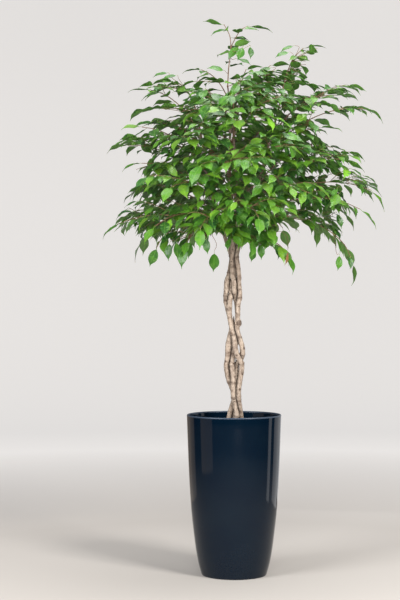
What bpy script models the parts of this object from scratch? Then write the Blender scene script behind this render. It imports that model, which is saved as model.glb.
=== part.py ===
"""Weeping fig with a four-stem braided trunk, standing in a tall round planter.

Metres, +Z up. The origin is the centre of the planter's base, and the front is -Y.
Each stem is one woody piece with its boughs. Each leafy shoot is one piece that goes on
from the cut face of its bough.
"""

import math
import random
from dataclasses import dataclass, replace

import bmesh
import bpy
from mathutils import Vector
from mathutils.bvhtree import BVHTree

OBJECT_NAME = "weeping_fig"
UP = Vector((0.0, 0.0, 1.0))

# Gaps between neighbouring pieces
SEAT_GAP = 0.0003
END_GAP = 0.0005
WOOD_CLEARANCE = 0.0016
LEAF_CLEARANCE = 0.0010

# Planter: outer radius and height, from just under the rim to the base
POT_HEIGHT = 0.540
POT_OUTSIDE = (
    (0.1595, 0.5380),
    (0.1528, 0.3590),
    (0.1450, 0.2250),
    (0.1322, 0.1080),
    (0.1215, 0.0440),
    (0.1105, 0.0030),
)
POT_WALL = 0.0045
POT_FLOOR = 0.0120
POT_EDGE = 0.0012
POT_BREAK = 0.225
POT_STEPS = 36

# Soil: it fills the planter to four centimetres under the rim
SOIL_TOP = 0.500
SOIL_MOUND = 0.006
SOIL_GAP = 0.0003
SOIL_STEPS = 20
HOLE_DEPTH = 0.085
HOLE_SIDES = 8
HOLE_SPARE = 0.0001

# Trunk: height, then the place of each stem's middle across and in depth, in millimetres
STEM_FOOT = SOIL_TOP - HOLE_DEPTH + SEAT_GAP
STEMS = ("left", "front", "right", "back")
BRAID_MM = (
    (505, (-19, 8), (9, -13), (25, 3), (3, 16)),
    (547, (-14, 8), (8, -10), (21, 2), (3, 14)),
    (588, (0, 8), (0, -8), (16, -8), (16, 8)),
    (622, (-4, 9), (-3, -9), (15, -9), (14, 9)),
    (662, (-19, 6), (-3, -9), (21, -4), (9, 11)),
    (703, (-26, 1), (-7, -6), (26, -3), (8, 7)),
    (720, (-24, 0), (-6, 2), (21, -9), (18, 10)),
    (737, (-22, 0), (-4, 6), (11, -10), (27, 5)),
    (767, (-20, 1), (2, 9), (4, -10), (28, 0)),
    (799, (-15, 6), (8, 11), (0, -10), (18, -5)),
    (831, (-9, 9), (9, 10), (-8, -9), (10, -9)),
    (872, (-15, 11), (12, 12), (-15, -7), (12, -7)),
    (911, (-25, 8), (9, 13), (-14, -8), (14, -6)),
    (930, (-28, 3), (4, 10), (-12, -7), (18, -2)),
    (945, (-28, 1), (3, 1), (-12, 1), (19, -1)),
    (960, (-27, 0), (1, -8), (-10, 9), (18, 0)),
    (990, (-25, 2), (-1, -9), (-6, 9), (16, 0)),
    (1010, (-18, 6), (-7, -9), (2, 10), (16, -3)),
    (1049, (-11, 9), (-8, -8), (6, 10), (12, -7)),
    (1070, (-8, 8), (-8, -8), (8, 9), (8, -8)),
    (1095, (-15, 9), (-5, -12), (4, 14), (12, -4)),
)
# The same stems above the braid, where they part: height, then across and in depth
CROWN_MM = {
    "left": ((1140, -30, 16), (1220, -52, 36), (1330, -80, 56), (1450, -104, 66), (1550, -124, 62)),
    "front": ((1140, -6, -26), (1220, -8, -54), (1330, -16, -88), (1440, -18, -112), (1540, -8, -128)),
    "back": ((1140, 6, 30), (1220, 8, 48), (1350, 8, 60), (1500, -2, 46), (1640, -20, 12)),
    "right": ((1140, 28, -6), (1220, 50, -6), (1330, 84, -4), (1450, 118, 4), (1570, 150, 10)),
}
# Which stem of the crown each of the four columns of the braid grows into
BRAID_COLUMN = {"left": 0, "front": 1, "back": 2, "right": 3}
STEM_RADII = ((0.0, 0.0082), (0.588, 0.0076), (0.703, 0.0086), (0.831, 0.0080), (0.930, 0.0074),
              (1.070, 0.0071), (1.140, 0.0070), (1.330, 0.0052), (1.450, 0.0040), (1.640, 0.0026))
BURL_STEM = "right"
BURL_HEIGHT = 0.850
BURL_RADIUS = 0.0088
BURL_SHIFT = Vector((0.0085, -0.0010, 0.0))

# Boughs and twigs
BOUGH_RADIUS = 0.0034
SEAT_RADIUS = 0.0021
TWIG_TIP_RADIUS = 0.0013
FORK_RADIUS = 0.0017
TWIG_TILT = math.pi / 4.0
STEEP = 0.93
FLAT_ANGLE = math.radians(0.3)
PATH_SHARES = (0.0, 0.13, 0.31, 0.49, 0.66, 0.83, 1.0)
SEAT_SEGMENT = 1
END_PATH_SHARES = (0.0, 0.30, 0.55, 0.78, 1.0)
END_STRAIGHT = 0.010
# How far the handles of a twig's curve reach, as shares of its span
START_HANDLE = 0.36
END_HANDLE = 0.34
FORK_HANDLES = (0.20, 0.30)
FORK_SHARES = (0.0, 0.35, 0.70, 1.0)
RISE_DEG = 26.0
STEEPEST = math.radians(88)
BEND_STEP = 0.004
BEND_TRIES = 40

# Leaves
LEAF_LENGTH = (0.060, 0.077)
LEAF_SLENDERNESS = (0.46, 0.54)
PETIOLE_LENGTH = (0.0110, 0.0156)
PETIOLE_HALF = 0.0005
PETIOLE_DEPTH = 0.0009
PETIOLE_FLARE = 1.3
BLADE_DEPTH = 0.0012
LEAF_FOLD = 0.20
LEAF_WAVE = 0.10
BLADE_STATIONS = ((0.25, 0.86), (0.55, 0.97), (0.82, 0.27))
LEAF_TRIES = 26
LEAF_ANGLE_DEG = (42.0, 66.0)
LEAF_BEND_DEG = (8.0, 40.0)
FIRST_LEAF = 0.10
FORK_LEAVES = 3
TIP_REACH = 0.062
TIP_SUNK = 0.004
# Leaves hang more towards the foot of the crown, and lean out from its axis
CROWN_TOP = 1.80
CROWN_FOOT = 1.05
CROWN_AXIS = Vector((0.02, 0.0, 0.0))
DROOP_TOP = 0.24
DROOP_MORE = 0.30
DROOP_SPREAD = (-0.16, 0.20)
LEAN_OUT = 0.12
LEVEL = 0.30
FACE_OUT = 0.35
WAY_SPREAD = 0.26
FACE_SPREAD = 0.46
TURN_MORE = 0.12


@dataclass(frozen=True)
class Shoot:
    """A leafy shoot: its stem, the height where its bough leaves it, and its last leaf's tip.

    The last leaf turns its face the way that tip_face gives, where that isn't empty.
    """

    name: str
    stem: str
    height: float
    tip: tuple
    rise: float = RISE_DEG
    leaves: int = 6
    forks: tuple = ()
    tip_face: tuple = ()


# A height of zero means that the shoot goes on from the stem's own top end
STEM_END = 0.0
SHOOTS = (
    Shoot("leader", "back", STEM_END, (-0.074, 0.000, 1.905), 30, 5, ((0.62, (0.106, -0.020, 1.860)),)),
    Shoot("second_leader", "back", 1.500, (0.060, -0.070, 1.745), 16, 5),
    Shoot("right_spur", "right", STEM_END, (0.284, 0.020, 1.818), 24, 6),
    Shoot("small_spur", "back", 1.470, (0.176, 0.050, 1.762), 24, 5),
    Shoot("left_upper", "back", 1.540, (-0.166, -0.030, 1.715), 34, 5),
    Shoot("left_high", "left", STEM_END, (-0.262, 0.060, 1.690), 30, 6),
    Shoot("left_shoulder", "left", 1.440, (-0.338, -0.040, 1.640), 32, 7),
    Shoot("left_shoulder_back", "left", 1.385, (-0.290, 0.190, 1.545), 30, 6),
    Shoot("left_mid_high", "left", 1.335, (-0.362, -0.110, 1.500), 28, 6),
    Shoot("left_mid", "left", 1.290, (-0.424, 0.050, 1.450), 28, 7),
    Shoot("left_mid_low", "left", 1.245, (-0.360, -0.150, 1.370), 26, 6),
    Shoot("left_low", "left", 1.205, (-0.380, 0.160, 1.300), 26, 6),
    Shoot("left_skirt", "left", 1.165, (-0.452, 0.000, 1.155), 24, 7),
    Shoot("left_bottom", "left", 1.185, (-0.348, 0.100, 1.082), 38, 6),
    Shoot("left_skirt_front", "front", 1.175, (-0.304, -0.214, 1.128), 30, 6),
    Shoot("left_hang", "left", 1.145, (-0.277, -0.040, 1.042), 52, 4, tip_face=(0.2, -1.0, 0.1)),
    Shoot("bottom_left", "front", 1.140, (-0.185, -0.150, 1.050), 44, 5),
    Shoot("bottom_left_back", "back", 1.150, (-0.190, 0.230, 1.090), 40, 5),
    Shoot("right_high", "right", 1.460, (0.422, 0.060, 1.620), 32, 6),
    Shoot("right_shoulder", "right", 1.405, (0.492, -0.060, 1.560), 28, 7),
    Shoot("right_mid_high", "right", 1.350, (0.330, -0.170, 1.490), 28, 6),
    Shoot("right_mid_back", "right", 1.310, (0.400, 0.190, 1.450), 28, 6),
    Shoot("right_mid", "right", 1.270, (0.420, -0.090, 1.385), 26, 6),
    Shoot("right_mid_low", "right", 1.230, (0.524, 0.030, 1.275), 28, 7),
    Shoot("right_low_front", "right", 1.195, (0.465, -0.130, 1.195), 30, 6),
    Shoot("right_low_back", "right", 1.215, (0.430, 0.200, 1.200), 30, 6),
    Shoot("right_skirt", "right", 1.160, (0.350, 0.080, 1.120), 34, 6),
    Shoot("right_trail", "right", 1.180, (0.412, -0.010, 0.992), 52, 6),
    Shoot("bottom_right", "right", 1.130, (0.205, -0.080, 1.038), 28, 5),
    Shoot("bottom_front", "front", 1.120, (0.070, -0.200, 1.075), 44, 5),
    Shoot("front_top", "front", STEM_END, (0.050, -0.190, 1.690), 20, 5),
    Shoot("front_top_left", "front", 1.475, (-0.150, -0.230, 1.600), 28, 6),
    Shoot("front_top_right", "front", 1.435, (0.200, -0.220, 1.590), 28, 6),
    Shoot("front_high", "front", 1.380, (0.020, -0.350, 1.500), 28, 6),
    Shoot("front_high_left", "front", 1.330, (-0.210, -0.310, 1.440), 28, 6),
    Shoot("front_high_right", "front", 1.300, (0.230, -0.320, 1.410), 28, 6),
    Shoot("front_mid", "front", 1.260, (-0.030, -0.430, 1.340), 28, 6),
    Shoot("front_mid_left", "front", 1.225, (-0.240, -0.360, 1.260), 28, 6),
    Shoot("front_mid_right", "front", 1.205, (0.270, -0.360, 1.240), 28, 6),
    Shoot("front_low", "front", 1.165, (0.080, -0.410, 1.150), 32, 6),
    Shoot("front_low_left", "front", 1.155, (-0.130, -0.370, 1.110), 34, 6),
    Shoot("back_top", "back", 1.440, (0.040, 0.240, 1.650), 28, 6),
    Shoot("back_top_left", "back", 1.400, (-0.160, 0.270, 1.560), 28, 6),
    Shoot("back_top_right", "back", 1.365, (0.210, 0.260, 1.550), 28, 6),
    Shoot("back_high", "back", 1.325, (0.020, 0.380, 1.450), 28, 6),
    Shoot("back_mid_left", "back", 1.285, (-0.230, 0.340, 1.370), 28, 6),
    Shoot("back_mid_right", "back", 1.250, (0.260, 0.330, 1.340), 28, 6),
    Shoot("back_mid", "back", 1.215, (0.000, 0.430, 1.270), 28, 6),
    Shoot("back_low_left", "back", 1.185, (-0.260, 0.310, 1.190), 30, 6),
    Shoot("back_low_right", "back", 1.160, (0.210, 0.340, 1.150), 32, 6),
)


@dataclass(frozen=True)
class Leaf:
    """A leaf: where it grows from, how its blade runs and faces, and its sizes."""

    root: Vector
    along: Vector
    face: Vector
    length: float
    width: float
    petiole: float
    bend: float
    wave: float


def blend(table, at):
    """Value at a place, from rows of place and value, in straight runs."""
    for (low, first), (high, second) in zip(table, table[1:]):
        if at <= high:
            return first + (second - first) * max(0.0, at - low) / (high - low)
    return table[-1][1]


def line_point(points, share):
    """Point at a share of a line's length, and the way the line runs there."""
    lengths = [(b - a).length for a, b in zip(points, points[1:])]
    left = share * sum(lengths)
    for start, end, length in zip(points, points[1:], lengths):
        if left <= length or end is points[-1]:
            return start.lerp(end, left / length), (end - start).normalized()
        left -= length


def stem_axis(stem):
    """Middle line of a stem, from its foot in the soil to its top end."""
    column = BRAID_COLUMN[stem]
    first = BRAID_MM[0][1 + column]
    points = [Vector((first[0] / 1000, first[1] / 1000, STEM_FOOT))]
    for height, *places in BRAID_MM:
        across, depth = places[column]
        points.append(Vector((across, depth, height)) / 1000)
    for height, across, depth in CROWN_MM[stem]:
        points.append(Vector((across, depth, height)) / 1000)
    return points


def point_at_height(points, height):
    """Point of a rising line at a height."""
    for low, high in zip(points, points[1:]):
        if high.z >= height:
            return low.lerp(high, (height - low.z) / (high.z - low.z))
    return points[-1]


def bezier(ends, t):
    """Point of a cubic curve with four control points."""
    a, b, c, d = ends
    s = 1.0 - t
    return s**3 * a + 3.0 * s * s * t * b + 3.0 * s * t * t * c + t**3 * d


def turned(vector, degrees):
    """A vector tilted up by an angle, in the upright plane that holds it."""
    level = Vector((vector.x, vector.y, 0.0))
    if level.length < 1e-6:
        level = Vector((1.0, 0.0, 0.0))
    angle = math.atan2(vector.z, level.length) + math.radians(degrees)
    angle = max(min(angle, STEEPEST), -STEEPEST)
    level.normalize()
    return (level * math.cos(angle) + UP * math.sin(angle)) * vector.length


def tube(points, radii, sides=5):
    """Plain tube round a line, as points and faces, to test for clear space."""
    verts, faces = [], []
    for i, point in enumerate(points):
        ahead = (points[min(i + 1, len(points) - 1)] - points[max(i - 1, 0)]).normalized()
        side = ahead.orthogonal().normalized()
        other = ahead.cross(side)
        for k in range(sides):
            turn = 2.0 * math.pi * k / sides
            verts.append(point + (side * math.cos(turn) + other * math.sin(turn)) * radii[i])
    for i in range(len(points) - 1):
        for k in range(sides):
            a, b = i * sides + k, i * sides + (k + 1) % sides
            faces.append((a, b, b + sides, a + sides))
    return verts, faces


class Room:
    """The space that is already taken, piece by piece."""

    def __init__(self):
        self.taken = []

    def add(self, owner, verts, faces):
        low = Vector([min(v[k] for v in verts) for k in range(3)])
        high = Vector([max(v[k] for v in verts) for k in range(3)])
        self.taken.append((owner, low, high, BVHTree.FromPolygons(verts, faces)))

    def is_clear(self, verts, faces, skip=()):
        low = Vector([min(v[k] for v in verts) for k in range(3)])
        high = Vector([max(v[k] for v in verts) for k in range(3)])
        tree = None
        for owner, other_low, other_high, other in self.taken:
            if owner in skip:
                continue
            if any(low[k] > other_high[k] or high[k] < other_low[k] for k in range(3)):
                continue
            if tree is None:
                tree = BVHTree.FromPolygons(verts, faces)
            if tree.overlap(other):
                return False
        return True


def shoot_line(shoot, axis, rng, nudge):
    """Points of a shoot's line, from its stem to its last leaf."""
    if shoot.height == STEM_END:
        start = axis[-1]
        shares = END_PATH_SHARES
        first_way = (axis[-1] - axis[-2]).normalized()
    else:
        start = point_at_height(axis, shoot.height)
        shares = PATH_SHARES
        first_way = None
    tip = Vector(shoot.tip)
    chord = tip - start
    out_way = turned(chord, -shoot.rise).normalized()
    end = tip - out_way * TIP_REACH
    chord = end - start
    if first_way is None:
        first_way = turned(chord, shoot.rise).normalized()
    shift = [Vector([rng.uniform(-1.0, 1.0) for _ in range(3)]) * nudge for _ in range(2)]
    ends = (
        start,
        start + first_way * chord.length * START_HANDLE + shift[0],
        end - out_way * chord.length * END_HANDLE + shift[1],
        end,
    )
    points = [bezier(ends, t) for t in shares]
    if shoot.height == STEM_END:
        points[:1] = [start + first_way * END_GAP, start + first_way * END_STRAIGHT]
    return points


def split_line(shoot, points):
    """The part of a line that stays with its stem, and the part that is the leafy shoot."""
    if shoot.height == STEM_END:
        return [], points
    before, after = points[SEAT_SEGMENT], points[SEAT_SEGMENT + 1]
    way = (after - before).normalized()
    seat = before.lerp(after, 0.5)
    bough = [*points[: SEAT_SEGMENT + 1], seat - way * SEAT_GAP / 2]
    twig = [seat + way * SEAT_GAP / 2, *points[SEAT_SEGMENT + 1 :]]
    return bough, twig


def tapered(points, first, last):
    """A radius for each point, shrinking evenly from first to last."""
    return [first + (last - first) * i / (len(points) - 1) for i in range(len(points))]


@dataclass
class Twig:
    """One line of a leafy shoot, with its thickness at each point."""

    points: list
    radii: list


def seat_radius(shoot, axis):
    """Thickness of a shoot where it meets the wood that carries it."""
    if shoot.height == STEM_END:
        return blend(STEM_RADII, axis[-1].z)
    return SEAT_RADIUS


def fork_twig(main, share, tip, rng):
    """A side twig that leaves a main twig at a share of its length."""
    start, ahead = line_point(main.points, share)
    chord = Vector(tip) - start
    out_way = turned(chord, -RISE_DEG).normalized()
    end = Vector(tip) - out_way * TIP_REACH
    reach = (end - start).length
    first_way = ahead + chord.normalized()
    ends = (
        start,
        start + first_way * reach * FORK_HANDLES[0],
        end - out_way * reach * FORK_HANDLES[1],
        end,
    )
    points = [bezier(ends, t) for t in FORK_SHARES]
    return Twig(points, tapered(points, FORK_RADIUS, TWIG_TIP_RADIUS))


def grow_wood(room):
    """Lines of every bough and twig, bent until each is clear of the others."""
    axes = {stem: stem_axis(stem) for stem in STEMS}
    for stem, axis in axes.items():
        radii = [blend(STEM_RADII, point.z) + WOOD_CLEARANCE for point in axis]
        room.add(f"trunk {stem}", *tube(axis, radii, 8))
    boughs, twigs = {stem: [] for stem in STEMS}, {}
    for shoot in SHOOTS:
        rng = random.Random("bend " + shoot.name)
        own = (f"trunk {shoot.stem}",)
        for attempt in range(BEND_TRIES):
            points = shoot_line(shoot, axes[shoot.stem], rng, BEND_STEP * attempt)
            bough, twig = split_line(shoot, points)
            line = points if shoot.height == STEM_END else points[1:]
            skin = [BOUGH_RADIUS + WOOD_CLEARANCE] * len(line)
            if room.is_clear(*tube(line, skin), skip=own):
                break
        thick = seat_radius(shoot, axes[shoot.stem])
        main = Twig(twig, tapered(twig, thick, TWIG_TIP_RADIUS))
        twigs[shoot.name] = [main]
        if bough:
            wood = Twig(bough, tapered(bough, BOUGH_RADIUS, SEAT_RADIUS))
            boughs[shoot.stem].append(wood)
            room.add(f"bough {shoot.stem}", *tube(wood.points, wood.radii))
        for share, tip in shoot.forks:
            twigs[shoot.name].append(fork_twig(main, share, tip, rng))
        for twig in twigs[shoot.name]:
            room.add(f"twig {shoot.name}", *tube(twig.points, twig.radii))
    return axes, boughs, twigs


def leaf_rows(leaf, grow=0.0):
    """Cross-sections of a leaf from its petiole to near its tip, and the tip point."""
    side = leaf.along.cross(leaf.face).normalized()
    bend = max(leaf.bend, 0.02)
    base = leaf.root + leaf.along * leaf.petiole
    half = leaf.width / 2.0
    stations = [
        (leaf.root, leaf.face, PETIOLE_HALF, PETIOLE_DEPTH, 0.0, 0.0),
        (base, leaf.face, PETIOLE_HALF * PETIOLE_FLARE, PETIOLE_DEPTH * PETIOLE_FLARE, 0.0, 0.0),
    ]
    for i, (share, spread) in enumerate(BLADE_STATIONS):
        angle = bend * share
        forward = math.sin(angle) / bend * leaf.length
        down = (1.0 - math.cos(angle)) / bend * leaf.length
        middle = base + leaf.along * forward - leaf.face * down
        face = leaf.face * math.cos(angle) + leaf.along * math.sin(angle)
        wide = half * spread
        wave = LEAF_WAVE * wide * math.cos(leaf.wave + i * 2.4)
        stations.append((middle, face, wide, BLADE_DEPTH, LEAF_FOLD * wide, wave))
    rows = []
    for middle, face, wide, depth, fold, wave in stations:
        rows.append(
            {
                "left": middle + side * (wide + grow) + face * (fold + wave + depth / 3.0),
                "right": middle - side * (wide + grow) + face * (fold - wave + depth / 3.0),
                "keel": middle - face * (depth * 2.0 / 3.0 + grow),
                "top": middle + face * (depth / 3.0 + grow) if wide > half * 0.5 else None,
            }
        )
    forward = math.sin(bend) / bend * leaf.length
    down = (1.0 - math.cos(bend)) / bend * leaf.length
    return rows, base + leaf.along * forward - leaf.face * down


def leaf_faces(rows, tip):
    """Points and triangles of a leaf, split alike on its upper and lower faces."""
    verts, faces, index = [], [], []
    for row in rows:
        index.append({})
        for key in ("left", "right", "keel", "top"):
            if row[key] is not None:
                index[-1][key] = len(verts)
                verts.append(row[key])
    verts.append(tip)
    last = len(verts) - 1
    faces.append((index[0]["left"], index[0]["keel"], index[0]["right"]))
    for a, b in zip(index, index[1:]):
        for edge in ("left", "right"):
            for middle in ("top", "keel"):
                near, far = a.get(middle), b.get(middle)
                if near is None and far is None:
                    continue
                if near is not None and far is not None:
                    faces.append((a[edge], near, far))
                    faces.append((a[edge], far, b[edge]))
                else:
                    faces.append((a[edge], near if far is None else far, b[edge]))
        if "top" in a and "top" not in b:
            faces.append((a["top"], b["right"], b["left"]))
        elif "top" in b and "top" not in a:
            faces.append((a["left"], a["right"], b["top"]))
        elif "top" not in a:
            faces.append((a["left"], a["right"], b["right"]))
            faces.append((a["left"], b["right"], b["left"]))
    end = index[-1]
    faces.append((end["left"], end["right"], last))
    faces.append((end["right"], end["keel"], last))
    faces.append((end["keel"], end["left"], last))
    return verts, faces


def leaf_on_twig(rng, point, ahead, sign, spread):
    """A leaf that grows from a twig to one side, or straight on where the sign is zero."""
    side = ahead.cross(UP)
    side = side.normalized() if side.length > 0.1 else Vector((1.0, 0.0, 0.0))
    outward = point - CROWN_AXIS
    outward.z = 0.0
    outward.normalize()
    low = (CROWN_TOP - point.z) / (CROWN_TOP - CROWN_FOOT)
    droop = DROOP_TOP + DROOP_MORE * low * low + rng.uniform(*DROOP_SPREAD) * spread
    angle = math.radians(rng.uniform(*LEAF_ANGLE_DEG)) * abs(sign)
    along = ahead * math.cos(angle) + side * math.sin(angle) * sign
    along += outward * LEAN_OUT - UP * droop
    along += Vector([rng.uniform(-WAY_SPREAD, WAY_SPREAD) for _ in range(3)]) * spread
    along.z = min(along.z, along.z * LEVEL)
    along.normalize()
    face = UP + outward * FACE_OUT
    face += Vector([rng.uniform(-FACE_SPREAD, FACE_SPREAD) for _ in range(3)]) * spread
    face -= along * face.dot(along)
    length = rng.uniform(*LEAF_LENGTH)
    return Leaf(
        root=point,
        along=along,
        face=face.normalized(),
        length=length,
        width=length * rng.uniform(*LEAF_SLENDERNESS),
        petiole=rng.uniform(*PETIOLE_LENGTH),
        bend=math.radians(rng.uniform(*LEAF_BEND_DEG)),
        wave=rng.uniform(0.0, 2.0 * math.pi),
    )


def faced(leaf, way):
    """The same leaf, turned about its length until it faces a way."""
    face = way - leaf.along * way.dot(leaf.along)
    return replace(leaf, face=face.normalized())


def leaf_places(twig, count):
    """Points, ways and sides of the leaves along a twig, the last one at its tip."""
    places = []
    for k in range(count):
        share = FIRST_LEAF + (1.0 - FIRST_LEAF) * k / (count - 1)
        point, ahead = line_point(twig.points, share)
        sign = 0 if k == count - 1 else (1 if k % 2 else -1)
        if sign == 0:
            point = point - ahead * TIP_SUNK
        places.append((point, ahead, sign))
    return places


def grow_leaves(room, shoot, twigs):
    """The leaves of a shoot, each turned until it is clear of all that is already there."""
    rng = random.Random("leaves " + shoot.name)
    counts = [shoot.leaves] + [FORK_LEAVES] * (len(twigs) - 1)
    leaves = []
    for twig, count in zip(twigs, counts):
        for point, ahead, sign in leaf_places(twig, count):
            for attempt in range(LEAF_TRIES):
                leaf = leaf_on_twig(rng, point, ahead, sign, 1.0 + TURN_MORE * attempt)
                if sign == 0 and shoot.tip_face:
                    leaf = faced(leaf, Vector(shoot.tip_face))
                rows, tip = leaf_rows(leaf, LEAF_CLEARANCE)
                verts, faces = leaf_faces(rows[1:], tip)
                if room.is_clear(verts, faces):
                    leaves.append(leaf)
                    rows, tip = leaf_rows(leaf)
                    verts, faces = leaf_faces(rows, tip)
                    room.add(f"leaf {shoot.name}", verts, faces)
                    break
    return leaves


def new_object(name, mesh, collection):
    """An object for a mesh, in a collection."""
    made = bpy.data.objects.new(name, mesh)
    collection.objects.link(made)
    return made


def tube_object(name, points, radii, resolution, collection):
    """A solid tube through points, from a curve with filled caps."""
    steep = max(abs((b - a).normalized().z) for a, b in zip(points, points[1:]))
    curve = bpy.data.curves.new(name, "CURVE")
    curve.dimensions = "3D"
    if steep < STEEP:
        curve.twist_mode = "Z_UP"
    curve.bevel_depth = 1.0
    curve.bevel_resolution = resolution
    curve.use_fill_caps = True
    spline = curve.splines.new("POLY")
    spline.points.add(len(points) - 1)
    for knot, point, radius in zip(spline.points, points, radii):
        knot.co = (*point, 1.0)
        knot.radius = radius
        knot.tilt = TWIG_TILT
    guide = new_object(name + "_guide", curve, collection)
    graph = bpy.context.evaluated_depsgraph_get()
    mesh = bpy.data.meshes.new_from_object(guide.evaluated_get(graph))
    shape = bmesh.new()
    shape.from_mesh(mesh)
    bmesh.ops.remove_doubles(shape, verts=shape.verts, dist=1e-6)
    shape.to_mesh(mesh)
    shape.free()
    made = new_object(name, mesh, collection)
    made.matrix_world = guide.matrix_world
    bpy.data.objects.remove(guide)
    bpy.data.curves.remove(curve)
    return made


def leaf_object(name, leaf, collection):
    """A solid leaf lofted through its cross-sections."""
    rows, tip = leaf_rows(leaf)
    verts, faces = leaf_faces(rows, tip)
    shape = bmesh.new()
    knots = [shape.verts.new(vert) for vert in verts]
    for face in faces:
        shape.faces.new([knots[i] for i in face])
    bmesh.ops.recalc_face_normals(shape, faces=shape.faces)
    mesh = bpy.data.meshes.new(name)
    shape.to_mesh(mesh)
    shape.free()
    return new_object(name, mesh, collection)


def fuse(body, others):
    """Joins pieces to a body with one union, and removes them."""
    if not others:
        return
    group = bpy.data.collections.new(body.name + "_repeats")
    bpy.context.scene.collection.children.link(group)
    for other in others:
        for holder in list(other.users_collection):
            holder.objects.unlink(other)
        group.objects.link(other)
    union = body.modifiers.new("union", "BOOLEAN")
    union.operation = "UNION"
    union.operand_type = "COLLECTION"
    union.collection = group
    union.solver = "EXACT"
    graph = bpy.context.evaluated_depsgraph_get()
    mesh = bpy.data.meshes.new_from_object(body.evaluated_get(graph))
    shape = bmesh.new()
    shape.from_mesh(mesh)
    bmesh.ops.dissolve_limit(
        shape, angle_limit=FLAT_ANGLE, use_dissolve_boundaries=False, verts=shape.verts, edges=shape.edges
    )
    shape.to_mesh(mesh)
    shape.free()
    body.modifiers.remove(union)
    body.data = mesh
    for other in others:
        bpy.data.objects.remove(other)
    bpy.data.collections.remove(group)


def finish(name, colour, roughness, metallic=0.0):
    """A material with one colour, roughness and metallic value."""
    material = bpy.data.materials.new(name)
    material.use_nodes = True
    surface = material.node_tree.nodes["Principled BSDF"]
    surface.inputs["Base Color"].default_value = (*colour, 1.0)
    surface.inputs["Roughness"].default_value = roughness
    surface.inputs["Metallic"].default_value = metallic
    return material


def dress(body, material):
    """Gives an object its one material."""
    body.data.materials.clear()
    body.data.materials.append(material)


def turned_object(name, profile, steps, collection):
    """A solid turned about Z from a profile of radius and height."""
    mesh = bpy.data.meshes.new(name)
    shape = bmesh.new()
    knots = [shape.verts.new((radius, 0.0, height)) for radius, height in profile]
    for first, second in zip(knots, knots[1:]):
        shape.edges.new((first, second))
    shape.to_mesh(mesh)
    shape.free()
    made = new_object(name, mesh, collection)
    screw = made.modifiers.new("turn", "SCREW")
    screw.steps = steps
    screw.render_steps = steps
    screw.use_merge_vertices = True
    screw.merge_threshold = 0.00001
    return made


def inner_radius(height):
    """Radius of the planter's inner wall at a height."""
    rows = [(z, radius) for radius, z in reversed(POT_OUTSIDE)]
    return blend(rows, height) - POT_WALL


def wall_radius(height):
    """Radius of the straight inner wall between its break and the rim."""
    rim_out, rim_height = POT_OUTSIDE[0]
    share = (height - POT_BREAK) / (rim_height - POT_BREAK)
    low = inner_radius(POT_BREAK)
    return low + (rim_out - POT_WALL - low) * share


def make_planter(collection):
    """The tall tapered planter, an open shell with a rounded rim."""
    rim_out, rim_height = POT_OUTSIDE[0]
    rim_in = rim_out - POT_WALL
    profile = [(0.0, POT_FLOOR), (inner_radius(POT_FLOOR) - POT_EDGE, POT_FLOOR)]
    profile += [(inner_radius(POT_BREAK), POT_BREAK)]
    profile += [(rim_in, rim_height), (rim_in + POT_EDGE, POT_HEIGHT), (rim_out - POT_EDGE, POT_HEIGHT)]
    profile += list(POT_OUTSIDE)
    profile += [(POT_OUTSIDE[-1][0] - 2.0 * POT_EDGE, 0.0), (0.0, 0.0)]
    planter = turned_object("planter", profile, POT_STEPS, collection)
    planter.data.shade_smooth()
    dress(planter, finish("planter navy gloss", (0.012, 0.024, 0.045), 0.12))


def make_soil(axes, collection):
    """The soil that fills the planter, with a plain hole for each stem."""
    floor = POT_FLOOR + SOIL_GAP
    inset = math.cos(math.pi / POT_STEPS)
    profile = [(0.0, SOIL_TOP + SOIL_MOUND), (wall_radius(SOIL_TOP) * inset - SOIL_GAP, SOIL_TOP)]
    profile += [(inner_radius(POT_BREAK) * inset - SOIL_GAP, POT_BREAK)]
    profile += [((inner_radius(floor) - POT_EDGE) * inset - SOIL_GAP, floor), (0.0, floor)]
    soil = turned_object("soil", profile, SOIL_STEPS, collection)
    graph = bpy.context.evaluated_depsgraph_get()
    solid = bpy.data.meshes.new_from_object(soil.evaluated_get(graph))
    soil.modifiers.clear()
    soil.data = solid
    cutters = bpy.data.collections.new("cutters")
    bpy.context.scene.collection.children.link(cutters)
    for stem, axis in axes.items():
        flat = blend(STEM_RADII, 0.0) + SEAT_GAP + HOLE_SPARE
        radius = flat / math.cos(math.pi / HOLE_SIDES)
        shape = bmesh.new()
        bmesh.ops.create_cone(
            shape,
            cap_ends=True,
            segments=HOLE_SIDES,
            radius1=radius,
            radius2=radius,
            depth=2.0 * HOLE_DEPTH,
        )
        bmesh.ops.translate(shape, verts=shape.verts, vec=(axis[0].x, axis[0].y, SOIL_TOP))
        mesh = bpy.data.meshes.new("hole_" + stem)
        shape.to_mesh(mesh)
        shape.free()
        hole = new_object("hole_" + stem, mesh, cutters)
        hole.hide_render = True
        hole.display_type = "WIRE"
    cut = soil.modifiers.new("stem holes", "BOOLEAN")
    cut.operation = "DIFFERENCE"
    cut.operand_type = "COLLECTION"
    cut.collection = cutters
    cut.solver = "EXACT"
    dress(soil, finish("soil", (0.045, 0.030, 0.020), 0.95))


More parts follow.
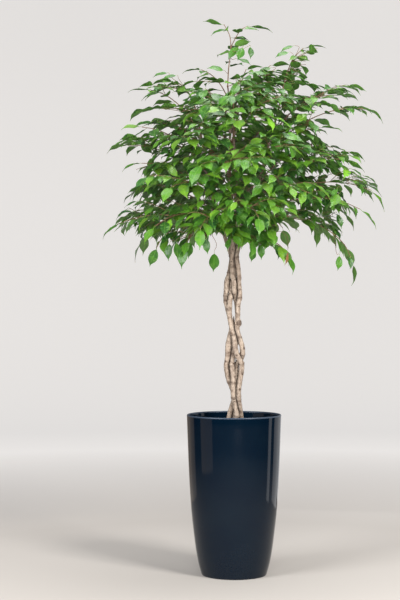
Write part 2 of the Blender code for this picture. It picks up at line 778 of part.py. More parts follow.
def make_stem(stem, axis, boughs, collection):
    """One woody stem with its boughs, and the burl on the stem that has it."""
    radii = [blend(STEM_RADII, point.z) for point in axis]
    body = tube_object("stem_" + stem, axis, radii, 2, collection)
    others = []
    for i, bough in enumerate(boughs):
        others.append(tube_object(f"bough_{stem}_{i}", bough.points, bough.radii, 0, collection))
    if stem == BURL_STEM:
        shape = bmesh.new()
        bmesh.ops.create_icosphere(shape, subdivisions=1, radius=BURL_RADIUS)
        bmesh.ops.translate(shape, verts=shape.verts, vec=point_at_height(axis, BURL_HEIGHT) + BURL_SHIFT)
        mesh = bpy.data.meshes.new("burl")
        shape.to_mesh(mesh)
        shape.free()
        others.append(new_object("burl", mesh, collection))
    fuse(body, others)
    dress(body, finish("bark " + stem, (0.50, 0.40, 0.29), 0.8))


def make_spray(shoot, twigs, leaves, collection):
    """One leafy shoot: its twigs and its leaves in one piece."""
    name = "spray_" + shoot.name
    body = tube_object(name, twigs[0].points, twigs[0].radii, 0, collection)
    others = []
    for i, twig in enumerate(twigs[1:]):
        others.append(tube_object(f"{name}_fork_{i}", twig.points, twig.radii, 0, collection))
    for i, leaf in enumerate(leaves):
        others.append(leaf_object(f"{name}_leaf_{i}", leaf, collection))
    fuse(body, others)
    rng = random.Random("green " + shoot.name)
    green = (0.05 + rng.uniform(0.0, 0.05), 0.24 + rng.uniform(-0.06, 0.08), 0.035)
    dress(body, finish("leaf green " + shoot.name, green, 0.35))


def main():
    for old in list(bpy.data.objects):
        bpy.data.objects.remove(old)
    collection = bpy.data.collections.new(OBJECT_NAME)
    bpy.context.scene.collection.children.link(collection)
    room = Room()
    axes, boughs, twigs = grow_wood(room)
    make_planter(collection)
    make_soil(axes, collection)
    for stem in STEMS:
        make_stem(stem, axes[stem], boughs[stem], collection)
    for shoot in SHOOTS:
        leaves = grow_leaves(room, shoot, twigs[shoot.name])
        make_spray(shoot, twigs[shoot.name], leaves, collection)


main()
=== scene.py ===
"""A weeping fig with a braided trunk in a tall round planter, dressed over its solids.

Metres, +Z up, the front of the plant towards -Y. Each leafy shoot's fine piece keeps the twig and
the leaves of its solid, and adds the side twigs and leaves that fill the crown.
"""

import logging
from collections import defaultdict
from dataclasses import dataclass, field, replace
from enum import Enum
from functools import cache
from math import atan2, cos, exp, floor, hypot, inf, pi, radians, sin, sqrt
from random import Random

import bmesh
import bpy
import numpy as np
from bmesh.types import BMesh
from bpy.types import Material, Mesh, Node, NodeSocket, NodeTree, Object
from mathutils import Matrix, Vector, noise
from mathutils.bvhtree import BVHTree


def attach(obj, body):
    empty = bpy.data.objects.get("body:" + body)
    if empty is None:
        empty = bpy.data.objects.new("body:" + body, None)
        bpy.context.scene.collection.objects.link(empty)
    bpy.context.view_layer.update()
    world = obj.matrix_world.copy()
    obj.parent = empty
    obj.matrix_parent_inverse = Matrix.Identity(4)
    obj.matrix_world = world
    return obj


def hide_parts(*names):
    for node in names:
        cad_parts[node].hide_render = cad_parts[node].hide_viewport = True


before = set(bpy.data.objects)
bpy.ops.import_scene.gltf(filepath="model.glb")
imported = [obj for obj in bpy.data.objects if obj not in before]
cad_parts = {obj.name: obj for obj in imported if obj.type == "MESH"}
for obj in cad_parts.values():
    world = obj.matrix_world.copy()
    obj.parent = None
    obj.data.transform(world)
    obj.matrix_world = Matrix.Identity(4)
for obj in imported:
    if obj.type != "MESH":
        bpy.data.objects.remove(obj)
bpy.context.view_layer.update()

log = logging.getLogger("weeping_fig")

Line = list[Vector]

UP = Vector((0.0, 0.0, 1.0))
ORIGIN = Vector((0.0, 0.0, 0.0))
BODY = "root"

# How near points merge, the least divisor, and how many points one step of an array takes
MERGE_REACH = 1e-6
TINY = 1e-12
ARRAY_PART = 500

# Gaps that the solids keep
SEAT_GAP = 0.0003
END_GAP = 0.0005
WOOD_CLEARANCE = 0.0016
LEAF_CLEARANCE = 0.0010

# Planter and soil
POT_HEIGHT = 0.540
POT_OUTSIDE = (
    (0.1595, 0.5380), (0.1528, 0.3590), (0.1450, 0.2250), (0.1322, 0.1080), (0.1215, 0.0440),
    (0.1105, 0.0030),
)
POT_WALL = 0.0045
POT_FLOOR = 0.0120
SOIL_TOP = 0.500
HOLE_DEPTH = 0.085

# Trunk: height, then the place of each stem's middle across and in depth, in millimetres
STEM_FOOT = SOIL_TOP - HOLE_DEPTH + SEAT_GAP
STEMS = ("left", "front", "right", "back")
BRAID_MM = (
    (505, (-19, 8), (9, -13), (25, 3), (3, 16)),
    (547, (-14, 8), (8, -10), (21, 2), (3, 14)),
    (588, (0, 8), (0, -8), (16, -8), (16, 8)),
    (622, (-4, 9), (-3, -9), (15, -9), (14, 9)),
    (662, (-19, 6), (-3, -9), (21, -4), (9, 11)),
    (703, (-26, 1), (-7, -6), (26, -3), (8, 7)),
    (720, (-24, 0), (-6, 2), (21, -9), (18, 10)),
    (737, (-22, 0), (-4, 6), (11, -10), (27, 5)),
    (767, (-20, 1), (2, 9), (4, -10), (28, 0)),
    (799, (-15, 6), (8, 11), (0, -10), (18, -5)),
    (831, (-9, 9), (9, 10), (-8, -9), (10, -9)),
    (872, (-15, 11), (12, 12), (-15, -7), (12, -7)),
    (911, (-25, 8), (9, 13), (-14, -8), (14, -6)),
    (930, (-28, 3), (4, 10), (-12, -7), (18, -2)),
    (945, (-28, 1), (3, 1), (-12, 1), (19, -1)),
    (960, (-27, 0), (1, -8), (-10, 9), (18, 0)),
    (990, (-25, 2), (-1, -9), (-6, 9), (16, 0)),
    (1010, (-18, 6), (-7, -9), (2, 10), (16, -3)),
    (1049, (-11, 9), (-8, -8), (6, 10), (12, -7)),
    (1070, (-8, 8), (-8, -8), (8, 9), (8, -8)),
    (1095, (-15, 9), (-5, -12), (4, 14), (12, -4)),
)
CROWN_MM = {
    "left": ((1140, -30, 16), (1220, -52, 36), (1330, -80, 56), (1450, -104, 66), (1550, -124, 62)),
    "front": ((1140, -6, -26), (1220, -8, -54), (1330, -16, -88), (1440, -18, -112), (1540, -8, -128)),
    "back": ((1140, 6, 30), (1220, 8, 48), (1350, 8, 60), (1500, -2, 46), (1640, -20, 12)),
    "right": ((1140, 28, -6), (1220, 50, -6), (1330, 84, -4), (1450, 118, 4), (1570, 150, 10)),
}
BRAID_COLUMN = {"left": 0, "front": 1, "back": 2, "right": 3}
STEM_RADII = (
    (0.0, 0.0082), (0.588, 0.0076), (0.703, 0.0086), (0.831, 0.0080), (0.930, 0.0074), (1.070, 0.0071),
    (1.140, 0.0070), (1.330, 0.0052), (1.450, 0.0040), (1.640, 0.0026),
)

# Knots that show in front: stem, height, the way each faces, size
KNOTS = (
    ("back", 0.712, (1.0, -0.6, 0.0), 0.0052),
    ("left", 0.718, (-0.7, -1.0, 0.2), 0.0046),
    ("front", 0.711, (0.8, -1.0, 0.0), 0.0048),
    ("right", 0.765, (0.8, -0.8, 0.0), 0.0050),
    ("back", 0.674, (0.5, -0.9, 0.0), 0.0034),
    ("front", 0.667, (0.9, -0.7, 0.0), 0.0034),
    ("front", 0.592, (-0.2, -1.0, 0.0), 0.0040),
    ("back", 0.626, (0.3, -1.0, 0.0), 0.0036),
    ("front", 0.995, (0.9, -0.6, 0.0), 0.0036),
    ("left", 0.955, (-0.8, -0.6, 0.0), 0.0036),
    ("right", 0.905, (0.5, -1.0, 0.0), 0.0034),
)

# Dead roots that fill the slits of the braid: across and height at each end
DEAD_ROOTS = (
    ((0.0055, 1.020), (0.0118, 0.928)),
    ((-0.0145, 1.010), (-0.0175, 0.975)),
    ((-0.0180, 0.990), (-0.0165, 0.935)),
    ((-0.0010, 0.872), (-0.0008, 0.822)),
    ((0.0140, 0.812), (0.0160, 0.776)),
    ((-0.0078, 0.808), (-0.0082, 0.742)),
    ((0.0035, 0.765), (0.0066, 0.705)),
    ((0.0150, 0.726), (0.0148, 0.676)),
    ((-0.0160, 0.728), (-0.0130, 0.642)),
)

# Boughs and twigs
BOUGH_RADIUS = 0.0034
SEAT_RADIUS = 0.0021
TWIG_TIP_RADIUS = 0.0013
FORK_RADIUS = 0.0017
PATH_SHARES = (0.0, 0.13, 0.31, 0.49, 0.66, 0.83, 1.0)
SEAT_SEGMENT = 1
END_PATH_SHARES = (0.0, 0.30, 0.55, 0.78, 1.0)
END_STRAIGHT = 0.010
START_HANDLE = 0.36
END_HANDLE = 0.34
FORK_HANDLES = (0.20, 0.30)
FORK_SHARES = (0.0, 0.35, 0.70, 1.0)
RISE_DEG = 26.0
STEEPEST = radians(88)
BEND_STEP = 0.004
BEND_TRIES = 40

# Leaves of the solids
LEAF_LENGTH = (0.060, 0.077)
LEAF_SLENDERNESS = (0.46, 0.54)
PETIOLE_LENGTH = (0.0110, 0.0156)
PETIOLE_HALF = 0.0005
PETIOLE_DEPTH = 0.0009
PETIOLE_FLARE = 1.3
BLADE_DEPTH = 0.0012
BLADE_MIDDLE = 0.45
LEAST_BEND = 0.02
LEAF_FOLD = 0.20
LEAF_WAVE = 0.10
WAVE_STEP = 2.4
BLADE_STATIONS = ((0.25, 0.86), (0.55, 0.97), (0.82, 0.27))
RIDGE_WIDTH = 0.5
LEAF_TRIES = 26
LEAF_ANGLE_DEG = (42.0, 66.0)
LEAF_BEND_DEG = (8.0, 40.0)
FIRST_LEAF = 0.10
FORK_LEAVES = 3
TIP_REACH = 0.062
TIP_SUNK = 0.004
CROWN_TOP = 1.80
CROWN_FOOT = 1.05
CROWN_AXIS = Vector((0.02, 0.0, 0.0))
DROOP_TOP = 0.24
DROOP_MORE = 0.30
DROOP_SPREAD = (-0.16, 0.20)
LEAN_OUT = 0.12
LEAST_SIDE = 0.1
LEVEL = 0.30
FACE_OUT = 0.35
WAY_SPREAD = 0.26
FACE_SPREAD = 0.46
TURN_MORE = 0.12


@dataclass(frozen=True)
class Shoot:
    """A leafy shoot: its stem, the height where its bough leaves it, and its last leaf's tip.

    The last leaf turns its face the way that tip_face gives, where that isn't empty.
    """

    name: str
    stem: str
    height: float
    tip: tuple
    rise: float = RISE_DEG
    leaves: int = 6
    forks: tuple = ()
    tip_face: tuple = ()

    @property
    def at_end(self) -> bool:
        """Tells whether the shoot goes on from the stem's own top end."""
        return self.height == STEM_END


# A height of zero means that the shoot goes on from the stem's own top end
STEM_END = 0.0
SHOOTS = (
    Shoot("leader", "back", STEM_END, (-0.074, 0.000, 1.905), 30, 5, ((0.62, (0.106, -0.020, 1.860)),)),
    Shoot("second_leader", "back", 1.500, (0.060, -0.070, 1.745), 16, 5),
    Shoot("right_spur", "right", STEM_END, (0.284, 0.020, 1.818), 24, 6),
    Shoot("small_spur", "back", 1.470, (0.176, 0.050, 1.762), 24, 5),
    Shoot("left_upper", "back", 1.540, (-0.166, -0.030, 1.715), 34, 5),
    Shoot("left_high", "left", STEM_END, (-0.262, 0.060, 1.690), 30, 6),
    Shoot("left_shoulder", "left", 1.440, (-0.338, -0.040, 1.640), 32, 7),
    Shoot("left_shoulder_back", "left", 1.385, (-0.290, 0.190, 1.545), 30, 6),
    Shoot("left_mid_high", "left", 1.335, (-0.362, -0.110, 1.500), 28, 6),
    Shoot("left_mid", "left", 1.290, (-0.424, 0.050, 1.450), 28, 7),
    Shoot("left_mid_low", "left", 1.245, (-0.360, -0.150, 1.370), 26, 6),
    Shoot("left_low", "left", 1.205, (-0.380, 0.160, 1.300), 26, 6),
    Shoot("left_skirt", "left", 1.165, (-0.452, 0.000, 1.155), 24, 7),
    Shoot("left_bottom", "left", 1.185, (-0.348, 0.100, 1.082), 38, 6),
    Shoot("left_skirt_front", "front", 1.175, (-0.304, -0.214, 1.128), 30, 6),
    Shoot("left_hang", "left", 1.145, (-0.277, -0.040, 1.042), 52, 4, tip_face=(0.2, -1.0, 0.1)),
    Shoot("bottom_left", "front", 1.140, (-0.185, -0.150, 1.050), 44, 5),
    Shoot("bottom_left_back", "back", 1.150, (-0.190, 0.230, 1.090), 40, 5),
    Shoot("right_high", "right", 1.460, (0.422, 0.060, 1.620), 32, 6),
    Shoot("right_shoulder", "right", 1.405, (0.492, -0.060, 1.560), 28, 7),
    Shoot("right_mid_high", "right", 1.350, (0.330, -0.170, 1.490), 28, 6),
    Shoot("right_mid_back", "right", 1.310, (0.400, 0.190, 1.450), 28, 6),
    Shoot("right_mid", "right", 1.270, (0.420, -0.090, 1.385), 26, 6),
    Shoot("right_mid_low", "right", 1.230, (0.524, 0.030, 1.275), 28, 7),
    Shoot("right_low_front", "right", 1.195, (0.465, -0.130, 1.195), 30, 6),
    Shoot("right_low_back", "right", 1.215, (0.430, 0.200, 1.200), 30, 6),
    Shoot("right_skirt", "right", 1.160, (0.350, 0.080, 1.120), 34, 6),
    Shoot("right_trail", "right", 1.180, (0.412, -0.010, 0.992), 52, 6),
    Shoot("bottom_right", "right", 1.130, (0.205, -0.080, 1.038), 28, 5),
    Shoot("bottom_front", "front", 1.120, (0.070, -0.200, 1.075), 44, 5),
    Shoot("front_top", "front", STEM_END, (0.050, -0.190, 1.690), 20, 5),
    Shoot("front_top_left", "front", 1.475, (-0.150, -0.230, 1.600), 28, 6),
    Shoot("front_top_right", "front", 1.435, (0.200, -0.220, 1.590), 28, 6),
    Shoot("front_high", "front", 1.380, (0.020, -0.350, 1.500), 28, 6),
    Shoot("front_high_left", "front", 1.330, (-0.210, -0.310, 1.440), 28, 6),
    Shoot("front_high_right", "front", 1.300, (0.230, -0.320, 1.410), 28, 6),
    Shoot("front_mid", "front", 1.260, (-0.030, -0.430, 1.340), 28, 6),
    Shoot("front_mid_left", "front", 1.225, (-0.240, -0.360, 1.260), 28, 6),
    Shoot("front_mid_right", "front", 1.205, (0.270, -0.360, 1.240), 28, 6),
    Shoot("front_low", "front", 1.165, (0.080, -0.410, 1.150), 32, 6),
    Shoot("front_low_left", "front", 1.155, (-0.130, -0.370, 1.110), 34, 6),
    Shoot("back_top", "back", 1.440, (0.040, 0.240, 1.650), 28, 6),
    Shoot("back_top_left", "back", 1.400, (-0.160, 0.270, 1.560), 28, 6),
    Shoot("back_top_right", "back", 1.365, (0.210, 0.260, 1.550), 28, 6),
    Shoot("back_high", "back", 1.325, (0.020, 0.380, 1.450), 28, 6),
    Shoot("back_mid_left", "back", 1.285, (-0.230, 0.340, 1.370), 28, 6),
    Shoot("back_mid_right", "back", 1.250, (0.260, 0.330, 1.340), 28, 6),
    Shoot("back_mid", "back", 1.215, (0.000, 0.430, 1.270), 28, 6),
    Shoot("back_low_left", "back", 1.185, (-0.260, 0.310, 1.190), 30, 6),
    Shoot("back_low_right", "back", 1.160, (0.210, 0.340, 1.150), 32, 6),
)


class LeafAge(Enum):
    """How old a leaf is, which sets its colour."""

    GROWN = "grown"
    YOUNG = "young"
    DRY = "dry"


@dataclass(frozen=True)
class Strand:
    """A thin hanging twig with one leaf, placed as the camera sees it at the depth of the trunk.

    It leaves the main twig of its shoot at a share of the length. Its size is the leaf's length and width.
    """

    shoot: str
    share: float
    line: tuple
    depth: float
    way: tuple
    face: tuple
    size: tuple
    tone: float = 0.35
    age: LeafAge = LeafAge.GROWN


STRANDS = (
    Strand("leader", 0.62, ((0.006, 1.775), (0.019, 1.786)), 0.000,
           (-0.68, -0.10, -0.73), (-0.3, -1.0, 0.4), (0.056, 0.029)),
    Strand("leader", 0.60, ((0.012, 1.766), (0.032, 1.784)), -0.020,
           (-0.38, -0.20, -0.92), (0.1, -1.0, 0.3), (0.046, 0.028), 0.30),
    Strand("leader", 0.60, ((0.020, 1.770), (0.055, 1.787)), 0.015,
           (0.05, -0.30, -1.00), (0.5, -1.0, 0.3), (0.042, 0.022), 0.15),
    Strand("leader", 0.50, ((-0.005, 1.738), (0.006, 1.742)), 0.010,
           (0.90, -0.20, -0.30), (0.2, -0.7, 1.0), (0.050, 0.024), 0.30),
    Strand("leader", 0.28, ((-0.024, 1.692), (-0.030, 1.700)), 0.000,
           (-0.95, -0.20, 0.22), (0.3, -1.0, 0.9), (0.055, 0.027)),
    Strand("right_trail", 0.66, ((0.346, 1.085), (0.356, 1.082)), -0.020,
           (-0.06, -0.10, -1.00), (0.4, -1.0, 0.2), (0.050, 0.025), 0.45),
    Strand("bottom_left", 0.34, ((-0.060, 1.118), (-0.067, 1.090)), -0.075,
           (-0.02, 0.0, -1.0), (0.25, -1.0, 0.1), (0.062, 0.035)),
    Strand("bottom_right", 0.46, ((0.150, 1.158), (0.179, 1.140), (0.182, 1.095)), -0.100,
           (-0.10, 0.0, -1.0), (0.75, -0.7, 0.1), (0.046, 0.013), 0.35, LeafAge.DRY),
    Strand("bottom_front", 0.42, ((0.048, 1.135), (0.066, 1.108)), -0.150,
           (-0.12, 0.0, -1.0), (0.3, -1.0, 0.2), (0.046, 0.024), 0.20),
    Strand("leader", 0.90, ((-0.022, 1.838), (-0.026, 1.842)), 0.000,
           (-0.92, -0.10, -0.28), (-0.2, -0.6, 1.0), (0.050, 0.022), 0.30),
    Strand("right_spur", 0.74, ((0.220, 1.778), (0.205, 1.786)), 0.000,
           (-0.86, -0.10, -0.30), (-0.2, -0.8, 1.0), (0.046, 0.022), 0.30),
    Strand("right_spur", 0.64, ((0.200, 1.752), (0.190, 1.764)), -0.020,
           (-0.90, -0.20, -0.25), (-0.2, -0.9, 0.8), (0.048, 0.023), 0.25),
    Strand("small_spur", 0.70, ((0.138, 1.706), (0.130, 1.712)), 0.000,
           (-0.86, -0.20, -0.30), (-0.2, -0.9, 0.8), (0.050, 0.024), 0.25),
    Strand("left_high", 0.80, ((-0.214, 1.680), (-0.220, 1.694)), 0.030,
           (-0.92, -0.10, -0.16), (-0.2, -0.7, 1.0), (0.050, 0.023), 0.25),
    Strand("left_high", 0.68, ((-0.186, 1.672), (-0.190, 1.686)), 0.010,
           (-0.90, -0.20, -0.20), (-0.2, -0.8, 1.0), (0.050, 0.023), 0.20),
    Strand("bottom_left", 0.78, ((-0.205, 1.128), (-0.216, 1.122)), -0.110,
           (-0.15, -0.10, -1.0), (-0.4, -1.0, 0.2), (0.056, 0.027), 0.15),
    Strand("bottom_left", 0.66, ((-0.186, 1.136), (-0.196, 1.126)), -0.140,
           (0.12, -0.10, -1.0), (0.4, -1.0, 0.2), (0.054, 0.026), 0.25),
    Strand("bottom_left", 0.52, ((-0.146, 1.138), (-0.150, 1.128)), -0.110,
           (-0.05, -0.10, -1.0), (0.2, -1.0, 0.2), (0.054, 0.026), 0.20),
    Strand("front_low_left", 0.70, ((-0.096, 1.150), (-0.094, 1.140)), -0.220,
           (0.05, -0.10, -1.0), (-0.3, -1.0, 0.2), (0.050, 0.025), 0.20),
    Strand("bottom_front", 0.70, ((0.078, 1.130), (0.086, 1.122)), -0.160,
           (0.15, -0.10, -1.0), (0.4, -1.0, 0.2), (0.052, 0.026), 0.25),
    Strand("right_skirt", 0.86, ((0.338, 1.220), (0.346, 1.222)), 0.040,
           (0.35, -0.10, -0.92), (0.5, -1.0, 0.3), (0.052, 0.026), 0.15),
)

# The most side twigs that a thin shoot may have
FEW_TWIGS = {
    "leader": 1, "left_hang": 1, "right_trail": 1, "left_upper": 2, "bottom_right": 3,
    "right_shoulder": 4, "left_high": 6, "left_shoulder": 6, "left_mid": 7, "left_skirt": 7,
}

# Gaps in the crown as the camera sees them, at the depth of the trunk: across, height and half sizes
GAPS = (
    (-0.042, 1.660, 0.048, 0.044), (0.022, 1.702, 0.030, 0.027), (-0.250, 1.550, 0.080, 0.018),
    (-0.214, 1.607, 0.070, 0.022), (-0.276, 1.500, 0.075, 0.014), (-0.352, 1.406, 0.074, 0.040),
    (-0.360, 1.335, 0.045, 0.026), (-0.055, 1.115, 0.030, 0.030), (-0.277, 1.045, 0.036, 0.040),
    (0.311, 1.541, 0.047, 0.041), (0.323, 1.608, 0.045, 0.018), (0.235, 1.636, 0.032, 0.020),
    (0.262, 1.700, 0.018, 0.045), (0.156, 1.144, 0.024, 0.026), (0.391, 1.315, 0.028, 0.014),
    (0.328, 1.326, 0.024, 0.020), (-0.121, 1.306, 0.015, 0.022), (-0.017, 1.474, 0.014, 0.018),
    (0.081, 1.530, 0.010, 0.014), (0.157, 1.381, 0.012, 0.018), (0.095, 1.373, 0.010, 0.022),
    (0.065, 1.298, 0.012, 0.018), (-0.027, 1.330, 0.012, 0.018), (-0.235, 1.408, 0.030, 0.014),
    (0.386, 1.398, 0.034, 0.012), (0.226, 1.561, 0.020, 0.014), (0.409, 1.507, 0.101, 0.041),
    (0.334, 1.474, 0.047, 0.030), (0.212, 1.150, 0.062, 0.050), (-0.392, 1.115, 0.088, 0.034),
    (0.399, 1.274, 0.030, 0.030), (-0.135, 1.060, 0.030, 0.024),
)

# The crown's outline as the camera sees it, at the depth of the trunk: across and height
OUTLINE = (
    (-0.100, 1.885), (0.130, 1.880), (0.150, 1.800), (0.240, 1.825), (0.300, 1.795), (0.255, 1.735),
    (0.250, 1.660), (0.330, 1.670), (0.430, 1.660), (0.510, 1.580), (0.420, 1.520), (0.400, 1.450),
    (0.480, 1.370), (0.540, 1.280), (0.490, 1.170), (0.425, 1.110), (0.430, 0.985), (0.370, 1.020),
    (0.315, 1.130), (0.235, 1.135), (0.215, 1.030), (0.120, 1.055), (0.000, 1.065), (-0.090, 1.040),
    (-0.220, 1.040), (-0.290, 1.025), (-0.360, 1.065), (-0.400, 1.130), (-0.465, 1.150), (-0.400, 1.230),
    (-0.390, 1.330), (-0.440, 1.440), (-0.380, 1.520), (-0.355, 1.620), (-0.340, 1.670), (-0.270, 1.715),
    (-0.200, 1.740), (-0.085, 1.742),
)

# Where bright young leaves show, as the camera sees them at the depth of the trunk
YOUNG_PLACES = (
    (0.118, 1.528), (0.152, 1.531), (-0.034, 1.166), (0.115, 1.281), (-0.225, 1.180), (-0.160, 1.215),
)


@dataclass(frozen=True)
class Leaf:
    """A leaf: where it grows from, how its blade runs and faces, and its sizes."""

    root: Vector
    along: Vector
    face: Vector
    length: float
    width: float
    petiole: float
    bend: float
    wave: float
    foot: Vector | None = None
    age: LeafAge = LeafAge.GROWN
    tone: float = 0.5

    def middle(self) -> Vector:
        """Finds the middle of the blade."""
        return self.root + self.along * (self.petiole + BLADE_MIDDLE * self.length)

    def faced(self, way: Vector) -> "Leaf":
        """Turns the leaf about its length until it faces a way."""
        face = way - self.along * way.dot(self.along)
        return replace(self, face=face.normalized())

    def bent(self, share: float) -> tuple[float, float, float]:
        """Bends the blade in an arc.

        Args:
            share: a share of its length.

        Returns:
            The angle there, and how far forward and how far down the blade has come.
        """
        bend = max(self.bend, LEAST_BEND)
        angle = bend * share
        return angle, sin(angle) / bend * self.length, (1.0 - cos(angle)) / bend * self.length


@dataclass
class Twig:
    """One line of wood, with its thickness at each point."""

    points: Line
    radii: list[float]


def blend(table: tuple, at: float) -> float:
    """Reads a table in straight runs.

    Args:
        table: rows of place and value.
        at: the place to read.

    Returns:
        The value there.
    """
    for (low, first), (high, second) in zip(table, table[1:]):
        if at <= high:
            return first + (second - first) * max(0.0, at - low) / (high - low)
    return table[-1][1]


def line_point(points: Line, share: float) -> tuple[Vector, Vector]:
    """Finds a place on a line.

    Args:
        points: the line's points.
        share: the share of its length.

    Returns:
        The point there, and the way the line runs.
    """
    lengths = [(b - a).length for a, b in zip(points, points[1:])]
    left = share * sum(lengths)
    for start, end, length in zip(points, points[1:], lengths):
        if left <= length or end is points[-1]:
            return start.lerp(end, left / length), (end - start).normalized()
        left -= length
    return points[-1], (points[-1] - points[-2]).normalized()


def nearest_on_line(points: Line, place: Vector) -> Vector:
    """Finds the point of a line that is nearest to a place.

    Args:
        points: the line's points.
        place: where to look from.

    Returns:
        The nearest point on the line.
    """
    best, best_far = points[0], inf
    for start, end in zip(points, points[1:]):
        way = end - start
        share = min(1.0, max(0.0, (place - start).dot(way) / max(way.length_squared, TINY)))
        found = start + way * share
        far = (place - found).length
        if far < best_far:
            best, best_far = found, far
    return best


def bezier(ends: tuple, t: float) -> Vector:
    """Reads a cubic curve.

    Args:
        ends: its four control points.
        t: the place, from 0 to 1.

    Returns:
        The point there.
    """
    a, b, c, d = ends
    s = 1.0 - t
    return s**3 * a + 3.0 * s * s * t * b + 3.0 * s * t * t * c + t**3 * d


def smooth_line(
    points: Line, steps: int, before: Vector | None = None, after: Vector | None = None
) -> Line:
    """Runs a smooth curve through points.

    Args:
        points: the points.
        steps: how many parts each run between them gets.
        before: where the curve comes from, if it goes on from another.
        after: where it goes on to.

    Returns:
        The curve's points.
    """
    first = points[0] * 2.0 - points[1] if before is None else before
    last = points[-1] * 2.0 - points[-2] if after is None else after
    knots = [first, *points, last]
    curve = []
    for a, b, c, d in zip(knots, knots[1:], knots[2:], knots[3:]):
        for k in range(steps):
            t = k / steps
            square = (2.0 * a - 5.0 * b + 4.0 * c - d) * t * t
            cube = (3.0 * b - a - 3.0 * c + d) * t**3
            curve.append(0.5 * (2.0 * b + (c - a) * t + square + cube))
    return [*curve, points[-1].copy()]


def turned(vector: Vector, degrees: float) -> Vector:
    """Tilts a vector up, in the upright plane that holds it.

    Args:
        vector: the vector to tilt.
        degrees: how far up.

    Returns:
        The tilted vector.
    """
    level = Vector((vector.x, vector.y, 0.0))
    if level.length < MERGE_REACH:
        level = Vector((1.0, 0.0, 0.0))
    angle = atan2(vector.z, level.length) + radians(degrees)
    angle = max(min(angle, STEEPEST), -STEEPEST)
    level.normalize()
    return (level * cos(angle) + UP * sin(angle)) * vector.length


def new_object(name: str, data: object) -> Object:
    """Adds an object to the scene."""
    made = bpy.data.objects.new(name, data)
    bpy.context.scene.collection.objects.link(made)
    return made


def drift(rng: Random, most: float) -> Vector:
    """Draws a vector with each part up to a size."""
    return Vector([rng.uniform(-most, most) for _ in range(3)])


def tapered(points: Line, first: float, last: float) -> list[float]:
    """Gives a radius for each point, changing evenly from the first to the last."""
    return [first + (last - first) * i / (len(points) - 1) for i in range(len(points))]


def tube(points: Line, radii: list[float], sides: int = 5) -> tuple[list, list]:
    """Wraps a line in a plain tube, to test for clear space.

    Args:
        points: the line's points.
        radii: the radius at each.
        sides: how many sides the tube has.

    Returns:
        Its points and its faces.
    """
    verts, faces = [], []
    for i, point in enumerate(points):
        ahead = (points[min(i + 1, len(points) - 1)] - points[max(i - 1, 0)]).normalized()
        side = ahead.orthogonal().normalized()
        other = ahead.cross(side)
        for k in range(sides):
            turn = 2.0 * pi * k / sides
            verts.append(point + (side * cos(turn) + other * sin(turn)) * radii[i])
    for i in range(len(points) - 1):
        for k in range(sides):
            a, b = i * sides + k, i * sides + (k + 1) % sides
            faces.append((a, b, b + sides, a + sides))
    return verts, faces


def leaf_rows(leaf: Leaf, spare: float) -> list[dict[str, Vector]]:
    """Works out the solid leaf's cross-sections.

    Args:
        leaf: the leaf.
        spare: how much clear space to add round it.

    Returns:
        Their points by name, from the petiole to near the tip.
    """
    side = leaf.along.cross(leaf.face).normalized()
    base = leaf.root + leaf.along * leaf.petiole
    half = leaf.width / 2.0
    stations = [
        (leaf.root, leaf.face, PETIOLE_HALF, PETIOLE_DEPTH, 0.0, 0.0),
        (base, leaf.face, PETIOLE_HALF * PETIOLE_FLARE, PETIOLE_DEPTH * PETIOLE_FLARE, 0.0, 0.0),
    ]
    for i, (share, spread) in enumerate(BLADE_STATIONS):
        angle, forward, down = leaf.bent(share)
        middle = base + leaf.along * forward - leaf.face * down
        face = leaf.face * cos(angle) + leaf.along * sin(angle)
        wide = half * spread
        wave = LEAF_WAVE * wide * cos(leaf.wave + i * WAVE_STEP)
        stations.append((middle, face, wide, BLADE_DEPTH, LEAF_FOLD * wide, wave))
    rows = []
    for middle, face, wide, depth, fold, wave in stations:
        row = {
            "left": middle + side * (wide + spare) + face * (fold + wave + depth / 3.0),
            "right": middle - side * (wide + spare) + face * (fold - wave + depth / 3.0),
            "keel": middle - face * (depth * 2.0 / 3.0 + spare),
        }
        if wide > half * RIDGE_WIDTH:
            row["top"] = middle + face * (depth / 3.0 + spare)
        rows.append(row)
    return rows


def leaf_solid(leaf: Leaf, spare: float = 0.0, first: int = 0) -> tuple[list, list]:
    """Joins the solid leaf's cross-sections, to test for clear space.

    Args:
        leaf: the leaf.
        spare: how much clear space to add round it.
        first: the cross-section to start from.

    Returns:
        Its points, the tip last, and its triangles.
    """
    verts, rows = [], []
    for row in leaf_rows(leaf, spare)[first:]:
        rows.append({key: len(verts) + i for i, key in enumerate(row)})
        verts.extend(row.values())
    _, forward, down = leaf.bent(1.0)
    verts.append(leaf.root + leaf.along * leaf.petiole + leaf.along * forward - leaf.face * down)
    faces = [(rows[0]["left"], rows[0]["keel"], rows[0]["right"])]
    for a, b in zip(rows, rows[1:]):
        for edge in ("left", "right"):
            for middle in ("top", "keel"):
                run = [row[middle] for row in (a, b) if middle in row]
                if len(run) == 2:
                    faces.append((a[edge], *run))
                if run:
                    faces.append((a[edge], run[-1], b[edge]))
        if "top" in a and "top" not in b:
            faces.append((a["top"], b["right"], b["left"]))
        elif "top" in b and "top" not in a:
            faces.append((a["left"], a["right"], b["top"]))
        elif "top" not in a:
            faces += [(a["left"], a["right"], b["right"]), (a["left"], b["right"], b["left"])]
    for one, other in (("left", "right"), ("right", "keel"), ("keel", "left")):
        faces.append((rows[-1][one], rows[-1][other], len(verts) - 1))
    return verts, faces


